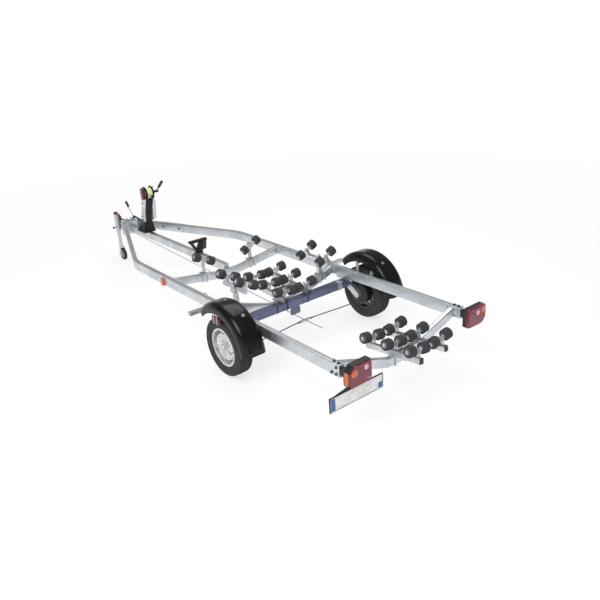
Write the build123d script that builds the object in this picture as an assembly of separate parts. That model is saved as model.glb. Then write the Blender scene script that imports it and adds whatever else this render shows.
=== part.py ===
from build123d import *
import math
import os

# Boat trailer, single braked axle, roller bed. Millimetres.
# Stations run along X, forward of the wheel centre line; +Y is the left side, Z = 0 the ground.
# Every piece is written with X shifted so that X = 0 is the middle of the overall length.

# ---- Fits shared by many pieces
seat_gap = 0.3             # rubber or plastic piece beside the metal that carries it
running_clearance = 0.05   # radial, pin or shaft in a hole it turns in
washer_thickness = 4.0
washer_radius = 17.0

# ---- Wheels
wheel_radius = 273.0
tyre_width = 157.0
track_half = 848.0
tyre_shoulder_radius = 20.0
tyre_tread_width = 122.0
tyre_shoulder_inset = 6.0
rim_seat_radius = 165.0
rim_flange_radius = 179.0
rim_flange_thickness = 4.0
rim_width = 124.0
rim_wall = 4.0
disc_face_offset = 30.0    # wheel disc's outer face outward of the wheel's centre plane
disc_hub_radius = 76.0
disc_crown_radius = 124.0
disc_crown_rise = 16.0
vent_count = 12
vent_radius = 9.0
vent_from_crown = 4.0
hub_radius = 70.0
hub_cap_radius = 28.0
hub_cap_length = 34.0
stub_to_bore_end = 1.0
drum_radius = 112.0
drum_depth = 62.0
drum_to_backplate = 6.0
wheel_bore_clearance = 1.0
stub_radius = 20.0

# ---- Frame
rail_top = 530.0
rail_height = 100.0
rail_width = 50.0
rail_wall = 3.0
rail_to_tyre = 49.5
rail_rear_x = -1320.0
rail_bend_x = 2080.0
rail_bend_radius = 700.0
rail_cap_thickness = 6.0
nose_x = 3640.0
nose_rail_y = 105.0
nose_plate_thickness = 12.0
nose_plate_half = 150.0
nose_plate_margin = 5.0
nose_plate_drop = 40.0
drawbar_height = 80.0
drawbar_width = 60.0
drawbar_centre_z = 445.0
drawbar_wall = 4.0
member_height = 80.0
member_width = 50.0
member_wall = 4.0
member_flat_half = 130.0
member_bend_radius = 160.0
member_end_z = 475.0
flange_thickness = 8.0
flange_length = 120.0
flange_height = 88.0
front_member_x = 1280.0
front_member_z = 400.0
middle_member_x = 340.0
middle_member_z = 302.0
rear_member_x = -1235.0
rear_member_z = 292.0

# ---- Axle
axle_x = 150.0
axle_z = 370.0
axle_size = 80.0
axle_wall = 6.0
axle_end_to_track = 148.0
axle_saddle_length = 220.0
arm_half_height = 34.0
arm_width = 45.0
backplate_radius = 118.0
backplate_thickness = 6.0

# ---- Fenders
fender_x = -31.0
fender_above_axle = 17.0
fender_over_tyre = 144.0
fender_past_tyre = 40.0
fender_to_rail = 15.0
fender_wall = 4.0
fender_shoulder = 60.0
fender_lip = 88.0
fender_front_angle = 47.0
fender_rear_angle = 174.0
fender_stay_width = 40.0
fender_stay_thickness = 5.0
fender_stay_angles = (86.0, 123.0)
fender_stay_gap = 6.0
fender_post_y = 830.0
fender_pad_length = 60.0
guard_bar_x = 470.0
guard_bar_width = 50.0
guard_bar_height = 30.0
guard_bar_rise = 20.0      # bar's underside above the rail's
guard_bar_length = 235.0

# ---- Rollers and the shafts that carry them
roller_radius = 47.0
roller_width = 70.0
roller_edge = 11.0
shaft_radius = 8.0

# ---- Twelve-roller cradles, rear and middle
cradle_beam_y = 145.0
cradle_row_pitch = 240.0
cradle_cant = 8.0          # each beam leans so that its outer rollers are the higher ones
cradle_roller_offset = 75.0
middle_inner_offset = 90.0  # the middle cradle's inner rollers meet under the keel
cradle_shaft_rise = 95.0
cradle_beam_width = 40.0
cradle_beam_height = 46.0
cradle_beam_overhang = 45.0
cradle_beam_rise = 12.0
cradle_web_thickness = 8.0
cradle_web_length = 70.0
cradle_pivot_radius = 17.0
carrier_ear_y = 40.0
carrier_ear_thickness = 8.0
carrier_ear_half = 34.0
carrier_ear_head = 22.0
carrier_base_thickness = 8.0
carrier_base_length = 130.0
rear_pivot_x = -1325.0
rear_pivot_z = 408.0
rear_tilt = 6.0
middle_pivot_x = 340.0
middle_pivot_z = 462.0
middle_tilt = -4.0

# ---- Outer four-roller cradles
outer_pivot_y = 512.0
outer_pivot_z = 632.0
outer_cant = 25.0
outer_row_half = 150.0
outer_roller_offset = 85.0
outer_shaft_rise = 75.0
outer_beam_width = 30.0
outer_beam_height = 40.0
outer_beam_overhang = 34.0
outer_pin_radius = 8.0
outer_ear_gap = 5.0
outer_ear_thickness = 6.0
outer_ear_half = 24.0
outer_ear_drop = 46.0
post_size = 40.0
saddle_thickness = 8.0
saddle_margin = 22.0
u_bolt_radius = 6.0

# ---- Front two-roller rockers
front_post_y = 300.0
front_post_size = 30.0
front_pivot_z = 636.0
front_cant = 25.0
front_roller_offset = 90.0
front_pin_radius = 8.0
front_hub_length = 26.0
front_hub_width = 46.0
front_hub_height = 50.0
front_hub_gap = 5.0
front_post_cap = 24.0

# ---- Keel rest on the drawbar
keel_rest_x = 1880.0
keel_rest_height = 155.0
keel_rest_half = 112.0
keel_rest_bar = 26.0
keel_rest_depth = 46.0
keel_pad_width = 76.0

# ---- Winch
winch_x = 2990.0
stand_foot_ahead = 210.0   # stand's foot and head ahead of the winch
stand_head_ahead = 70.0
stand_base_half = 78.0
stand_base_length = 210.0
stand_base_thickness = 10.0
stand_depth = 74.0
stand_waist_rise = 165.0
stand_top_z = 920.0
winch_axis_z = 1017.0
winch_plate_half = 50.0
winch_plate_thickness = 5.0
winch_plate_depth = 92.0
winch_plate_bottom = 665.0
winch_plate_head = 50.0
winch_shaft_radius = 12.0
spacer_radius = 7.0
drum_core_radius = 24.0
drum_flange_radius = 86.0
drum_flange_thickness = 3.0
drum_side_gap = 5.0
strap_radius = 78.0
winch_cover_length = 66.0
winch_cover_height = 142.0
winch_cover_depth = 32.0
crank_reach = 118.0        # crank's centre line outward of the winch's middle
crank_length = 240.0
crank_angle = 142.0        # from +X towards +Z, seen from the right
crank_boss_radius = 16.0
grip_length = 135.0
grip_radius = 17.0

# ---- Overrun coupling
head_z = 462.0
housing_length = 230.0
housing_width = 100.0
housing_height = 100.0
bellows_length = 88.0
bellows_radius = 42.0
bellows_groove = 8.0
bellows_folds = 5
draw_tube_radius = 24.0
coupling_length = 160.0
coupling_width = 66.0
coupling_height = 62.0
socket_from_nose = 52.0
socket_radius = 25.4
socket_depth = 24.0
socket_wall = 12.0
coupling_handle_length = 110.0
coupling_handle_radius = 11.0
lever_length = 220.0
lever_angle = 43.0         # from +X towards +Z
lever_out = 36.0           # lever's middle outward of the housing's right side
lever_width = 34.0
lever_thickness = 10.0
lever_grip_radius = 15.0
lever_grip_length = 90.0
lever_pin_radius = 12.0
lever_bracket_height = 46.0
lever_bracket_length = 110.0

# ---- Jockey wheel
jockey_from_nose = 118.0
jockey_y = 150.0
sleeve_radius = 30.0
sleeve_bottom = 372.0
sleeve_top = 640.0
sleeve_cap_height = 26.0
jockey_arm_length = 105.0
jockey_arm_radius = 8.0
jockey_handle_radius = 14.0
jockey_handle_length = 70.0
leg_radius = 24.0
leg_top = 470.0
clamp_height = 74.0
clamp_length = 64.0
clamp_knob_radius = 12.0
clamp_knob_length = 46.0
stem_radius = 12.0
stem_head_thickness = 5.0
crown_gap = 1.0
crown_thickness = 12.0
crown_room = 11.0         # between the wheel's top and the crown
caster_trail = 25.0
castor_radius = 85.0
castor_width = 42.0
castor_edge = 12.0
castor_side_gap = 5.0
castor_pin_radius = 8.0
fork_thickness = 5.0
fork_width = 44.0

# ---- Lamps and number plate
lamp_back_x = -1450.0
lamp_depth = 55.0
lamp_width = 215.0
lamp_height = 160.0
lamp_left_in = 36.0        # each lamp's middle inward of the rail's outer face
lamp_right_in = 70.0
lamp_cut = 46.0
lamp_centre_z = 527.0
lens_depth = 16.0
lens_margin = 10.0
lamp_arm_width = 40.0
lamp_arm_height = 60.0
plate_width = 520.0
plate_height = 110.0
plate_thickness = 3.0
plate_corner = 7.0
plate_drop = 31.0
plate_out = 12.0           # plate's middle outward of the lamp's
plate_frame_thickness = 5.0
plate_frame_margin = 7.0
marker_x = 1400.0
marker_length = 46.0
marker_depth = 20.0
marker_height = 84.0
marker_drop = 10.0         # marker's middle below the rail's

# ---- Brake rod, cables and wiring
rod_radius = 5.0
rod_below_drawbar = 30.0
rod_rear_z = 236.0
rod_rear_x = -30.0
rod_tail_length = 260.0
equaliser_half = 60.0
equaliser_size = 20.0
hanger_thickness = 6.0
cable_radius = 5.0
cable_bow_x = -62.0
cable_end_x = -76.0
cable_below_axle = 35.0
cable_boot = 110.0
cable_lead = 60.0
cable_bends = (150.0, 300.0, 300.0)

# ---- Worked out from the sizes above
rail_outer = track_half - tyre_width / 2 - rail_to_tyre
rail_inner = rail_outer - rail_width
rail_y = rail_outer - rail_width / 2
rail_z = rail_top - rail_height / 2
rail_bottom = rail_top - rail_height
axle_end = track_half - axle_end_to_track
fender_z = wheel_radius + fender_above_axle
fender_radius = wheel_radius + fender_over_tyre
fender_inner_y = rail_outer + fender_to_rail
fender_outer_y = track_half + tyre_width / 2 + fender_past_tyre
nose_front = nose_x + nose_plate_thickness
jockey_x = nose_front + jockey_from_nose
stand_foot_x = winch_x + stand_foot_ahead
stand_head_x = winch_x + stand_head_ahead
drawbar_top = drawbar_centre_z + drawbar_height / 2
drawbar_bottom = drawbar_centre_z - drawbar_height / 2
rod_front_z = drawbar_bottom - rod_below_drawbar
cable_end_z = wheel_radius - cable_below_axle
leg_bottom = 2 * castor_radius + crown_room + crown_thickness + crown_gap
lamp_left_y = rail_outer - lamp_left_in
lamp_right_y = rail_outer - lamp_right_in
plate_y = lamp_left_y + plate_out
coupling_nose = nose_front + housing_length + bellows_length + coupling_length
lamp_rear_x = lamp_back_x - lamp_depth - lens_depth
cradle_rear_x = (rear_pivot_x - (cradle_row_pitch + cradle_beam_overhang) * math.cos(math.radians(rear_tilt)))
roller_rear_x = rear_pivot_x - (cradle_row_pitch * math.cos(math.radians(rear_tilt))
                                 - cradle_shaft_rise * math.sin(math.radians(rear_tilt))) - roller_radius
tail_x = min(lamp_rear_x, cradle_rear_x, roller_rear_x)
datum_x = (coupling_nose + tail_x) / 2


# ---- Shape helpers
def block(size, centre):
    """A plain box by its size and centre."""
    return Pos(*centre) * Box(*size)


def rod(start, end, radius):
    """A round bar between two points."""
    along = Vector(*end) - Vector(*start)
    base = Plane(origin=start, z_dir=along)
    return base * Cylinder(radius, along.length, align=(Align.CENTER, Align.CENTER, Align.MIN))


def cross_rod(x, z, y_low, y_high, radius):
    """A round bar across the trailer."""
    return rod((x, y_low, z), (x, y_high, z), radius)


def long_rod(y, z, x_low, x_high, radius):
    """A round bar along the trailer."""
    return rod((x_low, y, z), (x_high, y, z), radius)


def upright_rod(x, y, z_low, z_high, radius):
    """An upright round bar."""
    return rod((x, y, z_low), (x, y, z_high), radius)


def side_prism(points, y_low, y_high):
    """An outline of (x, z) points, carried across the trailer from y_low to y_high."""
    outline = Plane.XZ * make_face(Polyline(*points, close=True))
    return Pos(0, y_high, 0) * extrude(outline, y_high - y_low)


def end_prism(points, x_low, x_high):
    """An outline of (y, z) points, carried along the trailer from x_low to x_high."""
    outline = Plane.YZ * make_face(Polyline(*points, close=True))
    return Pos(x_low, 0, 0) * extrude(outline, x_high - x_low)


def turned(points):
    """A profile of (radius, y) points turned about the Y axis."""
    return revolve(make_face(Polyline(*points, close=True)), Axis.Y)


def bent_tube(points, bend_radius, normal, across, within, wall):
    """A rectangular tube along straight runs joined by arcs; normal is square to the plane of the bends."""
    path = FilletPolyline(*points, radius=bend_radius)
    start = Plane(origin=path @ 0, x_dir=normal, z_dir=path % 0)
    section = start * (Rectangle(across, within) - Rectangle(across - 2 * wall, within - 2 * wall))
    return sweep(section, path=path)


def round_run(points, radii, radius):
    """A round cable along straight runs joined by tangent arcs."""
    path = FilletPolyline(*points, radius=radii)
    return sweep(Plane(origin=path @ 0, z_dir=path % 0) * Circle(radius), path=path)


def mirrored(shape):
    """The same piece on the other side of the trailer."""
    return mirror(shape, about=Plane.XZ)


def save(node, *shapes):
    """Write one node, with X measured from the middle of the overall length."""
    solids = [solid for shape in shapes for solid in (Pos(-datum_x, 0, 0) * shape).solids()]
    export_step(Compound(children=solids), f"parts/{node}.step")


# ---- Frame
def side_rail():
    """Left side rail: straight from the rear, one bend, then in to the nose plate."""
    slope = (rail_y - nose_rail_y) / (nose_x - rail_bend_x)
    past_nose = nose_x + rail_height
    points = [(rail_rear_x, rail_y, rail_z), (rail_bend_x, rail_y, rail_z),
              (past_nose, rail_y - slope * (past_nose - rail_bend_x), rail_z)]
    tube = bent_tube(points, rail_bend_radius, (0, 0, 1), rail_height, rail_width, rail_wall)
    keep = nose_x - rail_rear_x
    middle_x = rail_rear_x + keep / 2
    tube = tube & block((keep, 2 * rail_outer, rail_top), (middle_x, rail_outer / 2, rail_top / 2))
    cap = block((rail_cap_thickness, rail_width, rail_height),
                (rail_rear_x + rail_cap_thickness / 2, rail_y, rail_z))
    return tube + cap


def drawbar():
    """Centre drawbar, closed at its rear end, from the front crossmember to the nose plate, with that plate."""
    start_x = front_member_x + member_width / 2
    length = nose_x - start_x
    bar = block((length, drawbar_width, drawbar_height), (start_x + length / 2, 0, drawbar_centre_z))
    bore = block((length, drawbar_width - 2 * drawbar_wall, drawbar_height - 2 * drawbar_wall),
                 (start_x + drawbar_wall + length / 2, 0, drawbar_centre_z))
    plate_low = drawbar_bottom - nose_plate_drop
    plate_high = rail_top + nose_plate_margin
    plate = block((nose_plate_thickness, 2 * nose_plate_half, plate_high - plate_low),
                  (nose_x + nose_plate_thickness / 2, 0, (plate_low + plate_high) / 2))
    return bar - bore + plate


def crossmember(member_x, centre_z):
    """A crossmember that drops to a flat centre, with a flange against each rail."""
    end_y = rail_inner - flange_thickness
    slope = (member_end_z - centre_z) / (end_y - member_flat_half)
    past_y = end_y + member_height
    past_z = member_end_z + slope * member_height
    points = [(member_x, past_y, past_z), (member_x, member_flat_half, centre_z),
              (member_x, -member_flat_half, centre_z), (member_x, -past_y, past_z)]
    tube = bent_tube(points, member_bend_radius, (1, 0, 0), member_width, member_height, member_wall)
    tube = tube & block((member_width, 2 * end_y, 2 * rail_top), (member_x, 0, rail_top))
    flange = block((flange_length, flange_thickness, flange_height),
                   (member_x, rail_inner - flange_thickness / 2, rail_z))
    return tube + flange + mirrored(flange)


# ---- Axle
def axle():
    """Square torsion-axle tube with a saddle up to each rail."""
    tube = block((axle_size, 2 * axle_end, axle_size), (axle_x, 0, axle_z))
    inside = axle_size - 2 * axle_wall
    tube = tube - block((inside, 2 * axle_end, inside), (axle_x, 0, axle_z))
    saddle_height = rail_bottom - (axle_z + axle_size / 2)
    saddle = block((axle_saddle_length, rail_width, saddle_height),
                   (axle_x, rail_y, rail_bottom - saddle_height / 2))
    low = rod_rear_z + equaliser_size
    hanger_height = axle_z - axle_size / 2 - low
    hanger = block((hanger_thickness, 2 * equaliser_half, hanger_height),
                   (axle_x - (axle_size - hanger_thickness) / 2, 0, low + hanger_height / 2))
    return tube + saddle + mirrored(saddle) + hanger


def trailing_arm():
    """Left trailing arm with its stub axle and the brake's backplate."""
    reach = Vector(axle_x, 0, axle_z) - Vector(0, 0, wheel_radius)
    angle = math.degrees(math.atan2(reach.Z, reach.X))
    profile = Pos(axle_x / 2, (axle_z + wheel_radius) / 2) * Rot(0, 0, angle) \
        * SlotCenterToCenter(reach.length, 2 * arm_half_height)
    arm = Pos(0, axle_end + arm_width, 0) * extrude(Plane.XZ * profile, arm_width)
    face_y = axle_end + arm_width
    plate = cross_rod(0, wheel_radius, face_y, face_y + backplate_thickness, backplate_radius)
    stub = cross_rod(0, wheel_radius, face_y, track_half, stub_radius)
    return arm + plate + stub


# ---- Wheels, each about the Y axis with the wheel's centre at the origin
def tyre():
    """Solid ring of the tyre's outer shape, seated between the rim's flanges."""
    half = tyre_width / 2
    bead = rim_width / 2 - rim_flange_thickness - seat_gap
    seat = rim_seat_radius + seat_gap
    clear = rim_flange_radius + seat_gap
    belly = (clear + wheel_radius) / 2
    tread = tyre_tread_width / 2
    shoulder = wheel_radius - tyre_shoulder_radius
    shoulder_y = half - tyre_shoulder_inset
    right = [(seat, -bead), (clear, -bead), (belly, -half), (shoulder, -shoulder_y), (wheel_radius, -tread)]
    left = [(radius, -y) for radius, y in reversed(right)]
    return turned(right + left)


def rim():
    """Pressed steel rim: barrel, flanges and a crowned disc with a ring of vents."""
    half = rim_width / 2
    inside = half - rim_flange_thickness
    barrel_inner = rim_seat_radius - rim_wall
    barrel = turned([(barrel_inner, -half), (rim_flange_radius, -half), (rim_flange_radius, -inside),
                     (rim_seat_radius, -inside), (rim_seat_radius, inside), (rim_flange_radius, inside),
                     (rim_flange_radius, half), (barrel_inner, half)])
    face = disc_face_offset
    back = disc_face_offset - rim_wall
    rise = disc_crown_rise
    centre_hole = hub_cap_radius + wheel_bore_clearance
    crown_inner = disc_crown_radius - disc_crown_rise
    disc = turned([(centre_hole, back), (disc_hub_radius, back), (crown_inner, back + rise),
                   (disc_crown_radius, back + rise), (barrel_inner, back - rise), (barrel_inner, face - rise),
                   (disc_crown_radius, face + rise), (crown_inner, face + rise), (disc_hub_radius, face),
                   (centre_hole, face)])
    vent = Rot(90, 0, 0) * Cylinder(vent_radius, 2 * tyre_width)
    ring_radius = disc_crown_radius + vent_from_crown + vent_radius
    vents = [Rot(0, 360 * i / vent_count, 0) * Pos(ring_radius, 0, 0) * vent for i in range(vent_count)]
    return barrel + disc - vents


def brake_drum():
    """Brake drum and hub in one casting, bored for the stub axle, with its grease cap."""
    inner = axle_end + arm_width + backplate_thickness + drum_to_backplate - track_half
    face = disc_face_offset - rim_wall
    body = turned([(0, inner), (drum_radius, inner), (drum_radius, inner + drum_depth),
                   (hub_radius, inner + drum_depth), (hub_radius, face), (hub_cap_radius, face),
                   (hub_cap_radius, face + hub_cap_length), (0, face + hub_cap_length)])
    bore = cross_rod(0, 0, inner, stub_to_bore_end, stub_radius + running_clearance)
    return body - bore


# ---- Fenders
def fender_skin(inset):
    """Half of the fender's section, from its middle to its lip, at an inset from the outer face."""
    crown = fender_radius - inset
    bend = fender_shoulder - inset
    shoulder_r = fender_radius - fender_shoulder
    shoulder_y = fender_outer_y - fender_shoulder
    half = math.sqrt(0.5)
    middle = (shoulder_r + bend * half, shoulder_y + bend * half)
    outer = fender_outer_y - inset
    return [Line((crown, (fender_inner_y + fender_outer_y) / 2), (crown, shoulder_y)),
            ThreePointArc((crown, shoulder_y), middle, (shoulder_r, outer)),
            Line((shoulder_r, outer), (fender_radius - fender_lip, outer))]


def fender():
    """Left fender: an arched shell with a rounded shoulder and a skirt on both sides."""
    lip = fender_radius - fender_lip
    middle_y = (fender_inner_y + fender_outer_y) / 2
    outside = fender_skin(0)
    inside = fender_skin(fender_wall)
    edge = Line((lip, fender_outer_y), (lip, fender_outer_y - fender_wall))
    web = Line((fender_radius, middle_y), (fender_radius - fender_wall, middle_y))
    half = revolve(make_face(outside + [edge] + inside + [web]), Axis.Y,
                   revolution_arc=fender_rear_angle - fender_front_angle)
    shell = half + mirror(half, about=Plane.XZ.offset(-middle_y))
    return Pos(fender_x, 0, fender_z) * Rot(0, -fender_rear_angle, 0) * shell


def fender_stay(angle):
    """One stay, square to the fender at its angle: an upright on the rail, an arm, a post and a pad."""
    thick = fender_stay_thickness
    wide = fender_stay_width
    arm_r = fender_radius - fender_lip - fender_stay_gap - thick / 2
    inside = fender_radius - fender_wall - seat_gap
    pad_top = math.sqrt(inside ** 2 - (wide / 2) ** 2)
    arm = block((thick, fender_post_y - rail_outer, wide), (arm_r, (rail_outer + fender_post_y) / 2, 0))
    post = block((pad_top - arm_r, thick, wide), ((pad_top + arm_r) / 2, fender_post_y - thick / 2, 0))
    pad = block((thick, fender_pad_length, wide), (pad_top - thick / 2, fender_post_y, 0))
    x = fender_x + arm_r * math.cos(math.radians(angle))
    z = fender_z + arm_r * math.sin(math.radians(angle))
    low = rail_bottom + 2 * thick
    upright = block((wide, thick, z - low), (x, rail_outer + thick / 2, (z + low) / 2))
    return Pos(fender_x, 0, fender_z) * Rot(0, -angle, 0) * (arm + post + pad) + upright


def guard_bar():
    """Left guard bar ahead of the fender, out from the rail."""
    return block((guard_bar_width, guard_bar_length, guard_bar_height),
                 (guard_bar_x, rail_outer + guard_bar_length / 2, rail_bottom + guard_bar_rise + guard_bar_height / 2))


# ---- Rollers, shafts and cradles
def roller_shaft(x, y, z, left, right):
    """A cross shaft for a roller on each side of the beam, with a washer at each roller end."""
    half = roller_width / 2 + seat_gap
    tip = half + washer_thickness
    shaft = rod((x, y - right - tip, z), (x, y + left + tip, z), shaft_radius)
    for side, offset in ((1, left), (-1, right)):
        for start in (offset - tip, offset + half):
            shaft += rod((x, y + side * start, z), (x, y + side * (start + washer_thickness), z), washer_radius)
    return shaft


def roller(x, y, z):
    """A rubber roller with rounded edges, bored for its shaft."""
    body = Rot(90, 0, 0) * Cylinder(roller_radius, roller_width)
    body = fillet(body.edges().filter_by(GeomType.CIRCLE), roller_edge)
    body = body - Rot(90, 0, 0) * Cylinder(shaft_radius + seat_gap, 2 * roller_width)
    return Pos(x, y, z) * body


def cradle_rows():
    """The three shaft places along a twelve-roller cradle."""
    return (-cradle_row_pitch, 0, cradle_row_pitch)


def cradle_side(side):
    """Where one of a cradle's two beams lies, leaning so that its outer rollers are the higher ones."""
    return Pos(0, side * cradle_beam_y, 0) * Rot(side * cradle_cant, 0, 0)


def cradle_offsets(side, inner_offset):
    """How far left and right of its beam a shaft's two rollers lie, on one side of a cradle."""
    return (cradle_roller_offset, inner_offset) if side > 0 else (inner_offset, cradle_roller_offset)


def cradle_frame(inner_offset):
    """Twelve-roller cradle about its pivot: two beams on one pivot tube, each with three shafts on webs."""
    length = 2 * (cradle_row_pitch + cradle_beam_overhang)
    tube_half = cradle_beam_y + cradle_beam_width / 2
    beam_top = cradle_beam_rise + cradle_beam_height / 2
    web_height = cradle_shaft_rise + shaft_radius + washer_thickness - beam_top
    frame = rod((0, -tube_half, 0), (0, tube_half, 0), cradle_pivot_radius)
    for side in (-1, 1):
        beam = block((length, cradle_beam_width, cradle_beam_height), (0, 0, cradle_beam_rise))
        for x in cradle_rows():
            beam += block((cradle_web_length, cradle_web_thickness, web_height),
                          (x, 0, beam_top + web_height / 2))
            beam += roller_shaft(x, 0, cradle_shaft_rise, *cradle_offsets(side, inner_offset))
        frame += cradle_side(side) * beam
    return frame


def cradle_rollers(inner_offset):
    """The twelve rollers of such a cradle."""
    rollers = []
    for side in (-1, 1):
        left, right = cradle_offsets(side, inner_offset)
        rollers += [cradle_side(side) * roller(x, y, cradle_shaft_rise)
                    for x in cradle_rows() for y in (-right, left)]
    return rollers


def cradle_carrier(member_x, member_z, pivot_x, pivot_z):
    """Two ears on a base that sits on a crossmember's flat centre, clamped by U-bolts."""
    seat_z = member_z + member_height / 2
    base_half = carrier_ear_y + carrier_ear_thickness + saddle_margin
    carrier = block((carrier_base_length, 2 * base_half, carrier_base_thickness),
                    (member_x, 0, seat_z + carrier_base_thickness / 2))
    half = carrier_ear_half
    head = pivot_z + carrier_ear_head
    outline = [(member_x - half, seat_z), (member_x + half, seat_z), (pivot_x + half, pivot_z),
               (pivot_x + half, head), (pivot_x - half, head), (pivot_x - half, pivot_z)]
    ear = side_prism(outline, carrier_ear_y, carrier_ear_y + carrier_ear_thickness)
    carrier = carrier + ear + mirrored(ear)
    carrier = carrier - cross_rod(pivot_x, pivot_z, -base_half, base_half, cradle_pivot_radius + running_clearance)
    bolt_y = carrier_ear_y + carrier_ear_thickness + saddle_margin / 2
    for y in (-bolt_y, bolt_y):
        carrier += u_bolt(member_x, y, seat_z + carrier_base_thickness, member_z - member_height / 2)
    return carrier


def u_bolt(x, y, top_z, under_z):
    """A U-bolt round a crossmember: two legs down from a plate and a bar under the tube."""
    leg_x = member_width / 2 + seat_gap + u_bolt_radius
    bar_z = under_z - seat_gap - u_bolt_radius
    front = upright_rod(x + leg_x, y, bar_z, top_z, u_bolt_radius)
    rear = upright_rod(x - leg_x, y, bar_z, top_z, u_bolt_radius)
    return front + rear + long_rod(y, bar_z, x - leg_x, x + leg_x, u_bolt_radius)


def outer_place(side):
    """Where an outer cradle's pivot lies, canted with its outer end up."""
    return Pos(middle_member_x, side * outer_pivot_y, outer_pivot_z) * Rot(side * outer_cant, 0, 0)


def outer_frame():
    """Four-roller cradle about its pivot: one beam with two shafts."""
    length = 2 * (outer_row_half + outer_beam_overhang)
    web_top = outer_shaft_rise + shaft_radius + washer_thickness
    frame = block((length, outer_beam_width, outer_beam_height), (0, 0, 0))
    pin_half = outer_beam_width / 2 + outer_ear_gap + outer_ear_thickness + washer_thickness
    frame += rod((0, -pin_half, 0), (0, pin_half, 0), outer_pin_radius)
    for x in (-outer_row_half, outer_row_half):
        frame += block((2 * washer_radius, outer_beam_width, web_top), (x, 0, web_top / 2))
        frame += roller_shaft(x, 0, outer_shaft_rise, outer_roller_offset, outer_roller_offset)
    return frame


def outer_rollers():
    """The four rollers of such a cradle."""
    return [roller(x, side * outer_roller_offset, outer_shaft_rise)
            for x in (-outer_row_half, outer_row_half) for side in (-1, 1)]


def member_seat(member_x, centre_z, y):
    """Place on a crossmember's sloped top face, square to that face."""
    end_y = rail_inner - flange_thickness
    slope = math.atan((member_end_z - centre_z) / (end_y - member_flat_half))
    middle = centre_z + math.tan(slope) * (y - member_flat_half)
    return Pos(member_x, y, middle + member_height / 2 / math.cos(slope)) * Rot(math.degrees(slope), 0, 0)


def clamped_post(member_x, centre_z, y, head_z, size):
    """An upright post on a crossmember's slope, with its saddle plate and two U-bolts."""
    seat = member_seat(member_x, centre_z, y)
    foot_z = seat.position.Z - size
    post = block((size, size, head_z - foot_z), (member_x, y, (head_z + foot_z) / 2))
    post = post - seat * block((4 * size, 4 * size, 2 * member_height), (0, 0, -member_height))
    plate = block((member_width + 2 * saddle_margin, size + 2 * saddle_margin, saddle_thickness),
                  (0, 0, saddle_thickness / 2))
    for bolt_y in (-(size + saddle_margin) / 2, (size + saddle_margin) / 2):
        plate += u_bolt(0, bolt_y, saddle_thickness + 2 * washer_thickness, -member_height)
    return post + seat * plate


def outer_post():
    """Left outer post on the middle crossmember, with canted ears for the cradle's pin."""
    ear_y = outer_beam_width / 2 + outer_ear_gap + outer_ear_thickness / 2
    base = block((2 * outer_ear_half, 2 * ear_y + outer_ear_thickness, outer_ear_thickness),
                 (0, 0, -outer_ear_drop - outer_ear_thickness / 2))
    ears = [block((2 * outer_ear_half, outer_ear_thickness, outer_ear_drop + outer_ear_half),
                  (0, side * ear_y, (outer_ear_half - outer_ear_drop) / 2)) for side in (-1, 1)]
    head = base + ears[0] + ears[1]
    head = head - rod((0, -2 * ear_y, 0), (0, 2 * ear_y, 0), outer_pin_radius + running_clearance)
    post = clamped_post(middle_member_x, middle_member_z, outer_pivot_y, outer_pivot_z, post_size)
    above = block((4 * post_size, 6 * post_size, 4 * post_size), (0, 0, 2 * post_size - outer_ear_drop))
    post = post - outer_place(1) * above
    return post + outer_place(1) * head


def front_place(side):
    """Where a front rocker's pivot lies, canted with its outer end up."""
    return Pos(front_member_x, side * front_post_y, front_pivot_z) * Rot(side * front_cant, 0, 0)


def front_frame():
    """Two-roller rocker about its pin, which runs fore and aft through the post."""
    hub_x = -(front_post_size / 2 + front_hub_gap + front_hub_length / 2)
    frame = block((front_hub_length, front_hub_width, front_hub_height), (hub_x, 0, 0))
    frame += roller_shaft(hub_x, 0, 0, front_roller_offset, front_roller_offset)
    pin_end = front_post_size / 2 + front_hub_gap + washer_thickness
    frame += rod((hub_x, 0, 0), (pin_end, 0, 0), front_pin_radius)
    frame += rod((pin_end - washer_thickness, 0, 0), (pin_end, 0, 0), washer_radius)
    return frame


def front_rollers():
    """The two rollers of such a rocker."""
    hub_x = -(front_post_size / 2 + front_hub_gap + front_hub_length / 2)
    return [roller(hub_x, side * front_roller_offset, 0) for side in (-1, 1)]


def front_post():
    """Left front post on the front crossmember, bored for the rocker's pin."""
    top = front_pivot_z + front_post_cap
    post = clamped_post(front_member_x, front_member_z, front_post_y, top, front_post_size)
    return post - long_rod(front_post_y, front_pivot_z, front_member_x - front_post_size,
                           front_member_x + front_post_size, front_pin_radius + running_clearance)


# ---- Keel rest
def keel_rest():
    """Black yoke across the drawbar: two uprights, a bar between them and a thick pad on the right."""
    foot = drawbar_top
    top = foot + keel_rest_height
    wide = keel_rest_half
    bar = keel_rest_bar
    foot_half = drawbar_width / 2
    outlines = (((bar - foot_half, foot), (foot_half, foot), (wide, top), (wide - bar, top)),
                ((-wide, top - bar), (wide, top - bar), (wide, top), (-wide, top)),
                ((-foot_half, foot), (keel_pad_width - foot_half, foot), (keel_pad_width - wide, top), (-wide, top)))
    x_low = keel_rest_x - keel_rest_depth / 2
    yoke = [end_prism(outline, x_low, x_low + keel_rest_depth) for outline in outlines]
    cheek = block((keel_rest_depth, bar / 2, drawbar_height),
                  (keel_rest_x, foot_half + bar / 4, drawbar_centre_z + bar / 2))
    return yoke[0] + yoke[1] + yoke[2] + cheek + mirrored(cheek)


# ---- Winch
def stand_x(z):
    """Middle of the leaning stand at a height."""
    return stand_foot_x + (stand_head_x - stand_foot_x) * (z - drawbar_top) / (stand_top_z - drawbar_top)


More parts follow.
